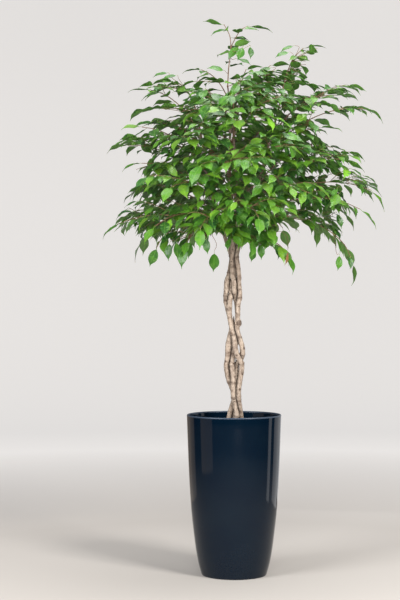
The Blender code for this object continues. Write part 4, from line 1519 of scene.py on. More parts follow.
@dataclass(frozen=True)
class BarkFinish:
    """Pale tan fig bark: streaks up it, short marks across it, and painted shade where stems press together.
    """

    pale: tuple = colour(0.470, 0.382, 0.306)
    tan: tuple = colour(0.140, 0.096, 0.070)
    grey: tuple = colour(0.150, 0.095, 0.075)
    scar: tuple = colour(0.050, 0.027, 0.017)
    # Painted shade: the dark colour laid on the bark where the stems press together
    dark: tuple = colour(0.015, 0.009, 0.007)
    roughness: tuple = (0.58, 0.85)
    patch_noise: tuple = (34.0, 4.0)
    blotch_noise: tuple = (85.0, 2.0)
    tan_weights: tuple = (0.40, 0.45)
    blotch_range: tuple = (0.45, 1.0, 0.0, 0.55)
    crown_span: tuple = (1.09, 1.25)
    crown_share: float = 0.75
    mark_share: float = 0.45
    scar_shares: tuple = (0.75, 1.00)
    crease_shade_shares: tuple = (0.90, 1.0)
    relief: tuple = (0.7, 0.0012)

    def material(self) -> Material:
        """Builds the material.

        Returns:
            The material, which reads the stems' marks of scars, and of painted shade where the stems press
            together.
        """
        look = Surface("bark")
        wood = look.wood(1.0)
        patches, blotches = look.patches(*self.patch_noise), look.patches(*self.blotch_noise)
        share = look.sum(*zip((wood["Streak"], patches), self.tan_weights))
        share = look.math("ADD", share, look.range(blotches, *self.blotch_range), clamp=True)
        base = look.mix(share, self.pale, self.tan)
        high = look.range(look.height(), *self.crown_span)
        base = look.mix(look.times(high, self.crown_share), base, self.grey)
        base = look.mix(look.times(wood["Mark"], self.mark_share), base, self.pale)
        # The crease layer is painted shade, which darkens the bark near the other stems
        layers = (("scar", self.scar_shares, self.scar), ("crease_shade", self.crease_shade_shares, self.dark))
        for name, shares, paint in layers:
            depth = look.times(look.mark(name)["Fac"], look.range(patches, 0.0, 1.0, *shares))
            base = look.mix(depth, base, paint)
        rough = look.range(wood["Streak"], 0.0, 1.0, *self.roughness)
        return look.finish(base, rough, wood["Height"], self.relief)


@dataclass(frozen=True)
class ShellFinish:
    """Glossy navy planter shell, with a slight unevenness, a painted highlight along the lip and a little
    dust low down.
    """

    navy: tuple = colour(0.0004, 0.0042, 0.0110)
    slate: tuple = colour(0.0012, 0.0058, 0.0125)
    dust: tuple = colour(0.016, 0.018, 0.022)
    # Painted highlight: a paler blue-grey laid on the rounded top of the lip
    painted_lip_highlight: tuple = colour(0.045, 0.062, 0.090)
    roughness: tuple = (0.06, 0.12)
    patch_noise: tuple = (9.0, 2.0)
    speck_noise: tuple = (190.0, 3.0)
    dust_height: float = 0.16
    dust_share: float = 0.30
    patch_gloss: float = 0.5
    lip_heights: tuple = (0.5345, 0.5365)
    lip_highlight_share: float = 0.8
    lip_roughness: float = 0.38
    bend_of_light: float = 1.33
    relief: tuple = (0.05, 0.002)

    def material(self) -> Material:
        """Builds the material.

        Returns:
            The material.
        """
        look = Surface("planter")
        patches, specks = look.patches(*self.patch_noise), look.patches(*self.speck_noise)
        height = look.height()
        low = look.range(height, 0.0, self.dust_height, 1.0, 0.0)
        dusty = look.times(look.times(low, specks), self.dust_share)
        base = look.mix(dusty, look.mix(patches, self.navy, self.slate), self.dust)
        # Painted highlight on the top of the lip, where the rim catches the light
        base = look.mix(look.range(height, *self.lip_heights, 0.0, self.lip_highlight_share), base, self.painted_lip_highlight)
        rough = look.math("ADD", look.times(patches, self.patch_gloss), dusty)
        rough = look.range(rough, 0.0, 1.0, *self.roughness)
        lip = look.times(look.range(height, *self.lip_heights), self.lip_roughness)
        look.feed(look.shader, {"IOR": self.bend_of_light})
        return look.finish(base, look.math("MAXIMUM", rough, lip), patches, self.relief)


@dataclass(frozen=True)
class SoilFinish:
    """Dark potting soil with paler crumbs."""

    dark: tuple = colour(0.022, 0.014, 0.009)
    brown: tuple = colour(0.085, 0.052, 0.030)
    pale: tuple = colour(0.260, 0.200, 0.140)
    roughness: float = 0.92
    lump_noise: tuple = (75.0, 5.0)
    fleck_noise: tuple = (520.0, 3.0)
    fleck_edge: tuple = (0.82, 0.95)
    fleck_share: float = 0.5
    relief: tuple = (0.8, 0.002)

    def material(self) -> Material:
        """Builds the material.

        Returns:
            The material.
        """
        look = Surface("soil")
        lumps, fine = look.patches(*self.lump_noise), look.patches(*self.fleck_noise)
        flecks = look.times(look.range(fine, *self.fleck_edge), self.fleck_share)
        base = look.mix(flecks, look.mix(lumps, self.dark, self.brown), self.pale)
        return look.finish(base, self.roughness, look.math("ADD", lumps, fine), self.relief)


@dataclass(frozen=True)
class StageFinish:
    """Plain pale backdrop: bright far off to the camera, dim there to gloss, clear from behind."""

    pale: tuple = colour(0.52, 0.485, 0.45)
    patch: tuple = colour(0.6, 0.6, 0.6)
    dim: tuple = colour(0.06, 0.06, 0.065)
    wall: tuple = colour(1.0, 0.985, 0.975)
    roughness: float = 0.95
    patch_noise: tuple = (1.5, 1.0)
    patch_share: float = 0.02
    lift_span: tuple = (1.2, 4.2)
    dim_span: tuple = (0.6, 2.6)
    lift: float = 0.55

    def material(self) -> Material:
        """Builds the material.

        Returns:
            The material.
        """
        look = Surface("backdrop")
        patches = look.times(look.patches(*self.patch_noise), self.patch_share)
        base = look.mix(patches, self.pale, self.patch)
        far = look.add("ShaderNodeVectorMath", {0: look.place}, operation="LENGTH").outputs["Value"]
        seen = look.add("ShaderNodeLightPath").outputs["Is Camera Ray"]
        dimmed = look.times(look.range(far, *self.dim_span), look.math("SUBTRACT", 1.0, seen))
        lift = look.times(look.times(look.range(far, *self.lift_span), self.lift), seen)
        inputs = {
            "Base Color": look.mix(dimmed, base, self.dim),
            "Roughness": self.roughness,
            "Emission Color": self.wall,
            "Emission Strength": lift,
        }
        look.feed(look.shader, inputs)
        behind = look.add("ShaderNodeNewGeometry").outputs["Backfacing"]
        clear = look.add("ShaderNodeBsdfTransparent").outputs[0]
        either = look.add("ShaderNodeMixShader", {0: behind, 1: look.shader.outputs[0], 2: clear})
        look.feed(look.tree.nodes["Material Output"], {"Surface": either.outputs[0]})
        return look.material


def new_piece(name: str, mesh: Mesh, nodes: tuple) -> Object:
    """Makes a mesh a piece of the object.

    Args:
        name: the piece's name.
        mesh: its mesh, already in place.
        nodes: the solids that it stands for.

    Returns:
        The piece.
    """
    piece = new_object(name, mesh)
    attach(piece, BODY)
    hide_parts(*nodes)
    log.info("%s: %d faces", name, len(mesh.polygons))
    return piece


def new_mesh(name: str, shape: BMesh, smooth: bool = True) -> Mesh:
    """Makes a mesh of a shape, and frees the shape.

    Args:
        name: the mesh's name.
        shape: the shape.
        smooth: whether all its faces turn smooth.

    Returns:
        The mesh.
    """
    for face in shape.faces:
        face.smooth = face.smooth or smooth
    mesh = bpy.data.meshes.new(name)
    shape.to_mesh(mesh)
    shape.free()
    return mesh


def spun_shape(profile: list[tuple], steps: int) -> BMesh:
    """Spins a profile round the upright axis.

    Args:
        profile: rows of radius and height.
        steps: how many parts the round has.

    Returns:
        The shape, its faces outwards.
    """
    shape = bmesh.new()
    knots = [shape.verts.new((radius, 0.0, height)) for radius, height in profile]
    edges = [shape.edges.new(pair) for pair in zip(knots, knots[1:])]
    bmesh.ops.spin(
        shape, geom=[*knots, *edges], cent=ORIGIN, axis=UP, angle=2.0 * pi, steps=steps, use_merge=True
    )
    bmesh.ops.remove_doubles(shape, verts=shape.verts, dist=MERGE_REACH)
    bmesh.ops.recalc_face_normals(shape, faces=shape.faces)
    return shape


def wood_mesh(name: str, twigs: list[Twig], resolution: int) -> Mesh:
    """Makes round wood along lines.

    Args:
        name: the mesh's name.
        twigs: the lines and their radii.
        resolution: how fine the round is.

    Returns:
        One mesh of closed tubes.
    """
    curve = bpy.data.curves.new(name + "_line", "CURVE")
    curve.dimensions = "3D"
    curve.bevel_depth = 1.0
    curve.bevel_resolution = resolution
    curve.use_fill_caps = True
    for twig in twigs:
        spline = curve.splines.new("POLY")
        spline.points.add(len(twig.points) - 1)
        for knot, point, radius in zip(spline.points, twig.points, twig.radii):
            knot.co = (*point, 1.0)
            knot.radius = radius
    guide = new_object(name + "_guide", curve)
    rough = bpy.data.meshes.new_from_object(guide.evaluated_get(bpy.context.evaluated_depsgraph_get()))
    bpy.data.objects.remove(guide)
    bpy.data.curves.remove(curve)
    shape = bmesh.new()
    shape.from_mesh(rough)
    bpy.data.meshes.remove(rough)
    bmesh.ops.remove_doubles(shape, verts=shape.verts, dist=MERGE_REACH)
    return new_mesh(name, shape)


@dataclass
class LeafShape:
    """The fine leaf that every shoot repeats: a thin lens with a fold, waved edges and a drip tip."""

    petiole_stations: tuple = (0.0, 0.5)
    outline: tuple = (
        (0.0, 0.05), (0.06, 0.41), (0.15, 0.69), (0.27, 0.90), (0.40, 1.0), (0.53, 0.98),
        (0.65, 0.81), (0.75, 0.50), (0.83, 0.22), (0.91, 0.085), (1.0, 0.012),
    )
    thickness: float = 0.00050
    rib_depth: float = 0.00035
    stalk_radius: float = 0.00055
    stalk_depth: float = 2.0
    stalk_least: float = 0.5
    stalk_arch: float = 0.0012
    tip_start: float = 0.74
    hook: float = 0.9
    side_hook: float = 0.9
    ripple: float = 0.022
    ripple_turn: float = 5.6
    wave_start: float = 0.25
    wave_run: float = 0.3
    cup: float = 0.05
    cup_turn: float = 1.9
    side_turn: float = 3.0
    under_from: float = -0.05

    def build(self) -> None:
        """Makes the pattern mesh from a square tube cut at each station."""
        blade = [station for station, _ in self.outline]
        stations = [-1.0 + share for share in self.petiole_stations] + blade
        shape = bmesh.new()
        long = stations[-1] - stations[0]
        bmesh.ops.create_cone(shape, cap_ends=True, segments=4, radius1=1.0, radius2=1.0, depth=long)
        middle = (stations[-1] + stations[0]) / 2.0
        bmesh.ops.translate(shape, verts=shape.verts, vec=UP * middle)
        for station in stations[1:-1]:
            geometry = [*shape.verts, *shape.edges, *shape.faces]
            bmesh.ops.bisect_plane(shape, geom=geometry, plane_co=UP * station, plane_no=UP)
        for edge in shape.edges:
            edge.smooth = any(abs(abs(vert.co.x) - 1.0) >= 0.01 for vert in edge.verts)
        for face in shape.faces:
            face.smooth = len(face.verts) == 4 and abs(face.normal.z) < 0.5
        self.pattern = new_mesh("leaf_pattern", shape, smooth=False)
        places = np.array([vert.co for vert in self.pattern.vertices])
        self.across, self.upper = (
            np.where(np.abs(places[:, k]) > 0.5, np.sign(places[:, k]), 0.0) for k in (0, 1)
        )
        self.stations = np.array(stations)
        self.row = np.array([int(np.argmin(np.abs(self.stations - z))) for z in places[:, 2]])

    def places(self, leaf: Leaf) -> np.ndarray:
        """Shapes the pattern into one leaf.

        Args:
            leaf: the leaf.

        Returns:
            The place of each of the pattern's points.
        """
        along, face = np.array(leaf.along), np.array(leaf.face)
        across = np.cross(face, along)
        base = np.array(leaf.root) + along * leaf.petiole
        foot = np.array(leaf.foot)
        stalk = self.stalk_radius
        rows = []
        for share in self.petiole_stations:
            middle = foot + (base - foot) * share + face * (sin(pi * share) * self.stalk_arch)
            rows.append((middle, face, stalk, stalk * self.stalk_depth, 0.0))
        for station, spread in self.outline:
            late = max(0.0, station - self.tip_start)
            angle, forward, down = leaf.bent(station)
            down += self.hook * late * late * leaf.length
            ripple = sin(station * self.ripple_turn + leaf.wave) * sin(pi * station)
            down += self.ripple * leaf.length * ripple
            aside = self.side_hook * late * late * leaf.length * sin(leaf.wave * self.side_turn)
            middle = base + along * forward - face * down + across * aside
            turn = angle + self.hook * late
            facing = face * cos(turn) + along * sin(turn)
            wide = max(leaf.width / 2.0 * spread, stalk * self.stalk_least)
            depth = self.thickness if station > 0.0 else stalk * self.stalk_depth
            rows.append((middle, facing, wide, depth, 1.0))
        middle, facing, wide, depth, blade = (np.array(column)[self.row] for column in zip(*rows))
        phase = leaf.wave + (self.stations[self.row] - self.wave_start) / self.wave_run * WAVE_STEP
        wave = LEAF_WAVE * np.cos(phase) * -self.across + self.cup * np.sin(phase * self.cup_turn)
        rise = blade * wide * (LEAF_FOLD + wave) * np.abs(self.across)
        thick = self.upper * depth / 2.0 - np.where(self.upper < 0.0, self.rib_depth * blade, 0.0)
        return middle + across * (self.across * wide)[:, None] + facing * (rise + thick)[:, None]


class Part:
    """A sub-assembly, which builds its piece and dresses it."""

    def dress(self, *finishes: Material) -> None:
        """Builds the piece and gives it its finishes."""
        piece = self.build()
        for finish in finishes:
            piece.data.materials.append(finish)


@dataclass
class Spray(Part):
    """One leafy shoot: its twigs and its fine leaves in one piece."""

    plan: ShootPlan
    leaf: LeafShape
    twig_resolution: int = 1

    def build(self) -> Object:
        """Makes the shoot's mesh and its piece.

        Returns:
            The piece.
        """
        name = "spray_" + self.plan.shoot.name
        wood = wood_mesh(name + "_wood", self.plan.smooth, self.twig_resolution)
        shape = bmesh.new()
        for _ in self.plan.leaves:
            shape.from_mesh(self.leaf.pattern)
        leaf_faces = len(shape.faces)
        shape.from_mesh(wood)
        bpy.data.meshes.remove(wood)
        shape.faces.ensure_lookup_table()
        for face in shape.faces[leaf_faces:]:
            face.material_index = 1
        mesh = new_mesh(name, shape, smooth=False)
        self.shape_leaves(mesh)
        self.map_leaves(mesh)
        self.mark_leaves(mesh)
        return new_piece(name + "_leafy", mesh, (name,))

    def shape_leaves(self, mesh: Mesh) -> None:
        """Moves every leaf's points to their places.

        Args:
            mesh: the shoot's mesh, its leaves first.
        """
        places = np.empty(len(mesh.vertices) * 3)
        mesh.vertices.foreach_get("co", places)
        count = len(self.leaf.row) * 3
        for i, leaf in enumerate(self.plan.leaves):
            places[i * count : (i + 1) * count] = self.leaf.places(leaf).ravel()
        mesh.vertices.foreach_set("co", places)
        mesh.update()

    def map_leaves(self, mesh: Mesh) -> None:
        """Writes the leaves' map: the place across each blade, and along it.

        Args:
            mesh: the shoot's mesh, its leaves first.
        """
        corners = np.empty(len(mesh.loops), dtype=np.int32)
        mesh.loops.foreach_get("vertex_index", corners)
        along = np.clip(self.leaf.stations[self.leaf.row], 0.0, 1.0)
        one = np.stack([0.5 + 0.5 * self.leaf.across, along], axis=1)
        flat = np.zeros((len(mesh.vertices), 2))
        leaves = len(self.plan.leaves)
        flat[: leaves * len(one)] = np.tile(one, (leaves, 1))
        mesh.uv_layers.new(name="leaf_map").data.foreach_set("uv", flat[corners].ravel())

    def mark_leaves(self, mesh: Mesh) -> None:
        """Writes each leaf's tone, underside and age.

        Args:
            mesh: the shoot's mesh, its leaves first.
        """
        pattern = self.leaf.pattern
        marks = np.zeros((len(mesh.loops), 4))
        count = len(pattern.loops)
        under = np.zeros(count)
        for face in pattern.polygons:
            under[face.loop_start : face.loop_start + face.loop_total] = face.center.y < self.leaf.under_from
        for i, leaf in enumerate(self.plan.leaves):
            rows = marks[i * count : (i + 1) * count]
            rows[:, 0] = leaf.tone
            rows[:, 1] = under
            rows[:, 2:] = leaf.age is LeafAge.YOUNG, leaf.age is LeafAge.DRY
        attribute = mesh.attributes.new("leaf_marks", "FLOAT_COLOR", "CORNER")
        attribute.data.foreach_set("color", marks.ravel())


@dataclass
class StemWood(Part):
    """One stem of the braid with its boughs: round bark with rings, knots and branch collars."""

    name: str
    growth: Growth
    steps: int = 9
    resolution: int = 5
    bough_resolution: int = 2
    ring_gap: tuple = (0.016, 0.062)
    ring_height: tuple = (0.0002, 0.0016)
    ring_width: float = 0.0034
    ring_top: float = 1.3
    thicker: float = 0.0006
    thicker_top: float = 1.1
    foot_flare: float = 0.0008
    flare_reach: float = 0.022
    collar: float = 0.0016
    collar_reach: float = 0.014
    lump: float = 0.0017
    lump_scale: float = 46.0
    lump_stretch: float = 0.35
    small_lump: float = 0.0008
    small_scale: float = 130.0
    crown_start: float = 1.2
    crown_lumps: float = 0.4
    stray_knots: int = 9
    stray_heights: tuple = (0.53, 1.15)
    stray_sizes: tuple = (0.0022, 0.0036)
    knot_sunk: float = 0.1
    knot_shape: tuple = (0.86, 1.16, 0.62)
    dish: float = 0.16
    dish_width: float = 0.46
    burl_stem: str = "right"
    burl_height: float = 0.850
    burl_radius: float = 0.0112
    burl_shift: tuple = (0.0062, -0.0045, 0.0)
    burl_way: tuple = (0.62, -1.0, 0.05)
    burl_shoulders: tuple = (
        (0.0030, -0.0030, 0.0095), (0.0025, -0.0036, -0.0100), (-0.0010, -0.0045, 0.0010),
    )
    shoulder_radius: float = 0.0092
    root_stem: str = "back"
    root_radius: tuple = (0.0026, 0.0020)
    root_tip: float = 0.25
    root_depth: float = 0.002
    root_parts: int = 6
    # How far from another stem the painted shade reaches, and how fast it fades
    crease_shade_reach: float = 0.0085
    crease_shade_power: float = 1.1
    scar_drop: float = 0.002
    scar_slant: float = 0.25
    scar_turn: float = 900.0
    scar_depth: float = 600.0
    scar_most: float = 0.8
    knot_edge: tuple = (1.1, 3.2)

    def build(self) -> Object:
        """Makes the stem's mesh and its piece.

        Returns:
            The piece.
        """
        line = smooth_line(self.growth.axes[self.name], self.steps, after=self.next_point())
        thin = [Twig(bough, self.bough_radii(bough)) for bough in self.growth.boughs[self.name]]
        if self.name == self.root_stem:
            thin += self.dead_roots()
        parts = (
            wood_mesh("stem_" + self.name, [Twig(line, self.bark_radii(line))], self.resolution),
            wood_mesh("boughs_" + self.name, thin, self.bough_resolution),
        )
        shape = bmesh.new()
        for part in parts:
            shape.from_mesh(part)
            bpy.data.meshes.remove(part)
        knots = self.knots(line)
        if self.name == self.burl_stem:
            middle, way = nearest_height(line, self.burl_height), Vector(self.burl_way)
            knots.append((middle + Vector(self.burl_shift), way, self.burl_radius))
            for shift in self.burl_shoulders:
                self.add_lump(shape, middle + Vector(shift), way, self.shoulder_radius)
        for knot in knots:
            self.add_lump(shape, *knot)
        self.roughen(shape)
        mesh = new_mesh("bark_" + self.name, shape, smooth=False)
        self.mark_crease_shade(mesh)
        self.mark_scars(mesh, knots)
        return new_piece("bark_" + self.name, mesh, ("stem_" + self.name,))

    def dead_roots(self) -> list[Twig]:
        """Runs the dead roots in the slits of the braid.

        Returns:
            Their lines and thicknesses.
        """
        roots = []
        for (x1, z1), (x2, z2) in DEAD_ROOTS:
            top, foot = Vector((x1, self.root_depth, z1)), Vector((x2, self.root_depth, z2))
            points = [top.lerp(foot, t / self.root_parts) for t in range(self.root_parts + 1)]
            radii = tapered(points, *self.root_radius)
            radii[0] *= self.root_tip
            roots.append(Twig(points, radii))
        return roots

    def next_point(self) -> Vector:
        """Finds the point that the stem goes on to, in the shoot at its top end."""
        ends = (plan for plan in self.growth.plans if plan.shoot.at_end and plan.shoot.stem == self.name)
        return next(ends).twigs[0].points[2]

    def bark_radii(self, line: Line) -> list[float]:
        """Gives the stem its thickness, with its rings and its wider foot.

        Args:
            line: the stem's smooth middle line.

        Returns:
            A radius for each point.
        """
        radii = []
        for point in line:
            radius = blend(STEM_RADII, point.z) + (self.thicker if point.z < self.thicker_top else 0.0)
            for place, raised in self.rings():
                radius += raised * bell(point.z - place, self.ring_width)
            radii.append(radius + self.foot_flare * bell(point.z - SOIL_TOP, self.flare_reach))
        return radii

    def bough_radii(self, line: Line) -> list[float]:
        """Gives a bough its thickness, with a collar where it leaves the stem."""
        collars = [self.collar * bell((point - line[0]).length, self.collar_reach) for point in line]
        return [radius + more for radius, more in zip(tapered(line, BOUGH_RADIUS, SEAT_RADIUS), collars)]

    def rings(self) -> list[tuple[float, float]]:
        """Draws the stem's growth rings.

        Returns:
            Each ring's height, and how far it stands out.
        """
        rng = Random("rings " + self.name)
        rings, height = [], STEM_FOOT
        while height < self.ring_top:
            height += rng.uniform(*self.ring_gap)
            rings.append((height, rng.uniform(*self.ring_height)))
        return rings

    def knots(self, line: Line) -> list[tuple[Vector, Vector, float]]:
        """Places the knots that show in front, and a few more all round.

        Args:
            line: the stem's smooth middle line.

        Returns:
            Each knot's place on the bark, the way it faces and its size.
        """
        rng = Random("knots " + self.name)
        wanted = [(height, Vector(way), size) for stem, height, way, size in KNOTS if stem == self.name]
        for _ in range(self.stray_knots):
            turn = rng.uniform(0.0, 2.0 * pi)
            way = Vector((cos(turn), sin(turn), 0.0))
            wanted.append((rng.uniform(*self.stray_heights), way, rng.uniform(*self.stray_sizes)))
        knots = []
        for height, way, size in wanted:
            out = way.normalized() * (blend(STEM_RADII, height) - size * self.knot_sunk)
            knots.append((nearest_height(line, height) + out, way, size))
        return knots

    def add_lump(self, shape: BMesh, place: Vector, way: Vector, size: float) -> None:
        """Adds a knot to the bark: a low oval lump with a dished face.

        Args:
            shape: the stem's shape.
            place: the knot's middle.
            way: the way it faces.
            size: its radius.
        """
        made = bmesh.ops.create_icosphere(shape, subdivisions=3, radius=size)["verts"]
        for vert in made:
            if vert.co.z > 0.0:
                vert.co.z -= self.dish * size * bell(vert.co.xy.length / size, self.dish_width)
        bmesh.ops.scale(shape, verts=made, vec=self.knot_shape)
        turn = way.to_track_quat("Z", "Y").to_matrix()
        bmesh.ops.rotate(shape, verts=made, cent=ORIGIN, matrix=turn)
        bmesh.ops.translate(shape, verts=made, vec=place)
        for face in {face for vert in made for face in vert.link_faces}:
            face.smooth = True

    def roughen(self, shape: BMesh) -> None:
        """Moves the bark in and out a little, more where the wood is thick.

        Args:
            shape: the stem's shape.
        """
        shape.normal_update()
        for vert in shape.verts:
            place = vert.co * self.lump_scale
            lump = noise.noise((place.x, place.y, place.z * self.lump_stretch)) * self.lump
            lump += noise.noise(vert.co * self.small_scale) * self.small_lump
            vert.co += vert.normal * lump * (1.0 if vert.co.z < self.crown_start else self.crown_lumps)

    def mark_crease_shade(self, mesh: Mesh) -> None:
        """Marks how near each point is to another stem's surface, for the painted shade between the stems.

        Args:
            mesh: the stem's mesh.
        """
        places = np.array([vert.co for vert in mesh.vertices])
        crease_shade = np.zeros(len(places))
        for other, axis in self.growth.axes.items():
            if other == self.name:
                continue
            line = smooth_line(axis, self.growth.steps)
            points = np.array([tuple(point) for point in line])
            radii = np.array([blend(STEM_RADII, point.z) for point in line])
            for part in (slice(i, i + ARRAY_PART) for i in range(0, len(places), ARRAY_PART)):
                apart = np.linalg.norm(places[part, None] - points[None], axis=2) - radii[None]
                near = np.clip(1.0 - apart.min(axis=1) / self.crease_shade_reach, 0.0, 1.0)
                crease_shade[part] = np.maximum(crease_shade[part], near**self.crease_shade_power)
        write_mark(mesh, "crease_shade", crease_shade)

    def mark_scars(self, mesh: Mesh, knots: list[tuple]) -> None:
        """Marks the rings and the knots, which are browner than the rest.

        Args:
            mesh: the stem's mesh.
            knots: the stem's knots.
        """
        places = np.array([vert.co for vert in mesh.vertices])
        scar = np.zeros(len(places))
        for height, raised in self.rings():
            slant = places[:, 0] * self.scar_slant * sin(height * self.scar_turn)
            near = np.exp(-(((places[:, 2] - (height - self.scar_drop + slant)) / self.ring_width) ** 2))
            scar = np.maximum(scar, near * min(self.scar_most, raised * self.scar_depth))
        reach, edge = self.knot_edge
        for place, _, size in knots:
            apart = np.linalg.norm(places - np.array(place), axis=1) / size
            scar = np.maximum(scar, np.clip((reach - apart) * edge, 0.0, 1.0))
        write_mark(mesh, "scar", scar)


def nearest_height(line: Line, height: float) -> Vector:
    """Finds the point of a stem's line that is nearest to a height."""
    return min(line, key=lambda point: abs(point.z - height))


def bell(far: float, reach: float) -> float:
    """Reads a bell curve of height one."""
    return exp(-((far / reach) ** 2))


def write_mark(mesh: Mesh, name: str, values: np.ndarray) -> None:
    """Writes a mark with a value for each point of a mesh."""
    mesh.attributes.new(name, "FLOAT", "POINT").data.foreach_set("value", values.astype(np.float32))


@dataclass
class Shell(Part):
    """The tall tapered planter: one turned shell with a rounded rim."""

    steps: int = 96
    runs: int = 5
    rim_round: int = 6
    lip: tuple = (0.0024, 0.0050)
    inner_lip: tuple = ((0.0005, 0.0007), (0.0014, 0.0))
    foot: tuple = ((0.0008, 0.0012), (0.0024, 0.0), (0.012, 0.0))
    seam: float = 0.0010
    lip_gap: float = 0.002
    floor_round: tuple = (0.006, 0.008)
    inner_start: float = 0.02

    def build(self) -> Object:
        """Makes the planter's mesh and its piece.

        Returns:
            The piece.
        """
        points = [Vector((radius, 0.0, height)) for radius, height in POT_OUTSIDE]
        outer = [(point.x, point.z) for point in smooth_line(points, self.runs)]
        rim_out, rim_height = outer[0]
        inside = rim_out - POT_WALL
        rim = [(inside, rim_height - self.seam)]
        rim += [(inside + across, POT_HEIGHT - below) for across, below in self.inner_lip]
        wide, high = self.lip
        for i in range(self.rim_round + 1):
            turn = pi / 2.0 * i / self.rim_round
            across = rim_out - wide * (1.0 - sin(turn))
            rim.append((across, POT_HEIGHT - high * (1.0 - cos(turn))))
        inner_foot, outer_top = POT_FLOOR + self.inner_start, POT_HEIGHT - high - self.lip_gap
        inner = [(radius - POT_WALL, height) for radius, height in outer[1:] if height > inner_foot]
        outside = [(radius, height) for radius, height in outer if height < outer_top]
        base = outer[-1][0]
        foot_in = base - POT_WALL
        across, up = self.floor_round
        profile = [(0.0, POT_FLOOR), (foot_in - across, POT_FLOOR), (foot_in, POT_FLOOR + up)]
        profile += inner[::-1] + rim + outside
        profile += [(base - across, height) for across, height in self.foot] + [(0.0, 0.0)]
        mesh = new_mesh("planter_shell", spun_shape(profile, self.steps))
        return new_piece("planter_shell", mesh, ("planter",))


@dataclass
class SoilBed(Part):
    """The soil: an uneven top between the stems and the wall, with loose crumbs on it."""

    rings: int = 34
    steps: int = 110
    spare: float = 0.0008
    uneven: float = 0.0035
    lump_scales: tuple = (38.0, 110.0)
    lump_slices: tuple = (3.0, 7.0)
    small_lumps: float = 0.6
    mound: float = 0.006
    edge_fade: tuple = (6.0, 1.02)
    top_reach: float = 0.001
    side_heights: tuple = (0.30, 0.15)
    foot: tuple = (0.004, 0.03)
    crumbs: int = 620
    crumb_size: tuple = (0.0012, 0.0044)
    crumb_flat: tuple = ((0.7, 1.3), (0.7, 1.3), (0.5, 0.9))
    crumb_rough: tuple = (0.8, 1.15)
    crumb_raised: float = 0.2
    crumb_margin: float = 0.006

    def radius(self, height: float) -> float:
        """Finds the inner wall's radius at a height, a hair inside."""
        rows = tuple((z, radius) for radius, z in reversed(POT_OUTSIDE))
        return blend(rows, height) - POT_WALL - self.spare

    def top(self, across: float, depth: float) -> float:
        """Finds the height of the soil at a place.

        Args:
            across: the place across.
            depth: its depth.

        Returns:
            The height.
        """
        far = hypot(across, depth) / self.radius(SOIL_TOP)
        wide, small = self.lump_scales
        first, second = self.lump_slices
        bump = noise.noise((across * wide, depth * wide, first))
        bump += self.small_lumps * noise.noise((across * small, depth * small, second))
        fade, edge = self.edge_fade
        bump *= self.uneven
        rise = self.mound * max(0.0, 1.0 - far)
        return SOIL_TOP + rise + bump * min(1.0, fade * (edge - far))

    def build(self) -> Object:
        """Makes the soil's mesh and its piece.

        Returns:
            The piece.
        """
        wall, floor = self.radius(SOIL_TOP), POT_FLOOR + self.spare
        profile = [(wall * i / self.rings, SOIL_TOP) for i in range(self.rings + 1)]
        profile += [(self.radius(height), height) for height in self.side_heights]
        narrower, foot_height = self.foot
        profile += [(self.radius(foot_height) - narrower, floor), (0.0, floor)]
        shape = spun_shape(profile, self.steps)
        for vert in shape.verts:
            if vert.co.z > SOIL_TOP - self.top_reach:
                vert.co.z = self.top(vert.co.x, vert.co.y)
        self.scatter(shape)
        return new_piece("soil_bed", new_mesh("soil_bed", shape), ("soil",))

    def scatter(self, shape: BMesh) -> None:
        """Strews crumbs over the soil.

        Args:
            shape: the soil's shape, which gets them.
        """
        rng = Random("crumbs")
        for _ in range(self.crumbs):
            turn = rng.uniform(0.0, 2.0 * pi)
            far = sqrt(rng.random()) * (self.radius(SOIL_TOP) - self.crumb_margin)
            across, depth = far * cos(turn), far * sin(turn)
            size = rng.uniform(*self.crumb_size)
            made = bmesh.ops.create_icosphere(shape, subdivisions=1, radius=size)["verts"]
            squash = [rng.uniform(*span) for span in self.crumb_flat]
            bmesh.ops.scale(shape, verts=made, vec=squash)
            for vert in made:
                vert.co *= rng.uniform(*self.crumb_rough)
            place = Vector((across, depth, self.top(across, depth) + size * self.crumb_raised))
            bmesh.ops.translate(shape, verts=made, vec=place)


@dataclass(frozen=True)
class Lamp:
    """A soft light: where it stands and points, its size, its power in watts and its tint."""

    name: str
    place: tuple
    aim: tuple
    size: tuple
    power: float
    tint: tuple
    on_gloss: bool = True
    on_dull: bool = True

    def build(self) -> None:
        """Makes the light, which the camera doesn't see."""
        data = bpy.data.lights.new(self.name, "AREA")
        data.shape = "RECTANGLE"
        data.size, data.size_y = self.size
        data.energy = self.power
        data.color = self.tint
        lamp = new_object(self.name, data)
        lamp.location = self.place
        way = Vector(self.aim) - Vector(self.place)
        lamp.rotation_euler = way.to_track_quat("-Z", "Y").to_euler()
        lamp.visible_camera = False
        lamp.visible_glossy = self.on_gloss
        lamp.visible_diffuse = self.on_dull


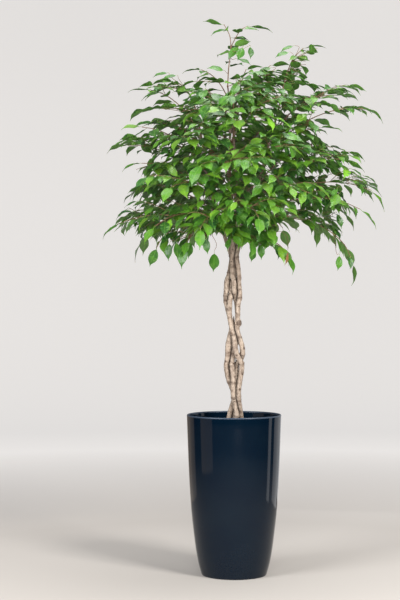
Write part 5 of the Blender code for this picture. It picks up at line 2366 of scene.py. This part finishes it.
WARM = (1.0, 0.82, 0.66)
COOL = (0.97, 0.98, 1.0)
SOFT = (1.0, 0.99, 0.97)
LAMPS = (
    Lamp("key", (2.6, -3.2, 3.2), (0.0, 0.0, 1.3), (1.3, 1.3), 235.0, (1.0, 0.98, 0.95)),
    Lamp("top", (0.4, 0.4, 4.2), (0.0, 0.0, 1.2), (2.0, 2.0), 70.0, (1.0, 1.0, 1.0)),
    Lamp("fill", (-3.2, -3.0, 2.6), (0.0, 0.0, 1.3), (2.0, 2.0), 180.0, (0.98, 0.99, 1.0)),
    Lamp("front", (-0.4, -4.8, 1.5), (0.0, 0.0, 1.3), (1.6, 1.6), 130.0, SOFT, on_gloss=False),
    Lamp("low", (0.5, -3.4, 0.45), (0.0, 0.0, 1.0), (1.0, 0.8), 56.0, SOFT, on_gloss=False),
    Lamp("panel_left", (-1.25, -0.45, 0.42), (-0.1, 0.0, 0.36), (0.80, 0.60), 0.9, WARM, on_dull=False),
    Lamp("panel_side", (-1.10, 0.80, 0.36), (-0.1, 0.0, 0.36), (0.70, 0.70), 0.6, WARM, on_dull=False),
    Lamp("panel_back", (-0.60, 1.35, 0.36), (-0.1, 0.0, 0.36), (0.90, 0.80), 0.6, WARM, on_dull=False),
    Lamp("strip_near", (1.10, 0.04, 0.56), (0.12, -0.1, 0.40), (0.20, 1.10), 1.0, COOL, on_dull=False),
    Lamp("strip_far", (0.91, 0.63, 0.56), (0.15, -0.06, 0.40), (0.66, 1.10), 1.9, COOL, on_dull=False),
    Lamp("strip_back", (0.50, 1.45, 0.56), (0.15, 0.0, 0.40), (0.90, 1.10), 2.4, COOL, on_dull=False),
)


@dataclass
class Studio:
    """A plain pale sweep and soft lights."""

    floor_rings: tuple = (0.0, 1.0, 3.0)
    floor: float = 5.5
    wall: float = 9.0
    wall_top: float = 7.0
    corner: int = 10
    steps: int = 96
    sky: tuple = colour(0.92, 0.94, 1.0)
    sky_strength: float = 0.30

    def build(self) -> None:
        """Makes the sweep, the lights and the sky."""
        self.sweep()
        for lamp in LAMPS:
            lamp.build()
        world = bpy.data.worlds.new("studio")
        world.use_nodes = True
        bpy.context.scene.world = world
        sky = world.node_tree.nodes["Background"]
        sky.inputs["Color"].default_value = self.sky
        sky.inputs["Strength"].default_value = self.sky_strength
        bpy.context.scene.view_settings.view_transform = "Standard"

    def sweep(self) -> None:
        """Turns the floor up into a round wall with no corner."""
        rise = self.wall - self.floor
        profile = [(radius, 0.0) for radius in self.floor_rings]
        for i in range(self.corner + 1):
            turn = pi / 2.0 * i / self.corner
            profile.append((self.floor + rise * sin(turn), rise * (1.0 - cos(turn))))
        profile.append((self.wall, self.wall_top))
        shape = spun_shape(profile, self.steps)
        bmesh.ops.reverse_faces(shape, faces=shape.faces)
        mesh = new_mesh("sweep", shape)
        mesh.materials.append(StageFinish().material())
        new_object("sweep", mesh)


def main() -> None:
    """Builds the whole picture, piece by piece."""
    logging.basicConfig(level=logging.INFO, format="%(message)s")
    eye = Eye()
    eye.build()
    growth = Growth(eye)
    growth.grow()
    leaf, twig, bark = LeafFinish().material(), TwigFinish().material(), BarkFinish().material()
    Shell().dress(ShellFinish().material())
    SoilBed().dress(SoilFinish().material())
    for stem in STEMS:
        StemWood(stem, growth).dress(bark)
    pattern = LeafShape()
    pattern.build()
    for plan in growth.plans:
        Spray(plan, pattern).dress(leaf, twig)
    log.info("leaves: %d", sum(len(plan.leaves) for plan in growth.plans))
    Studio().build()
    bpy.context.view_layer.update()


if __name__ == "__main__":
    main()
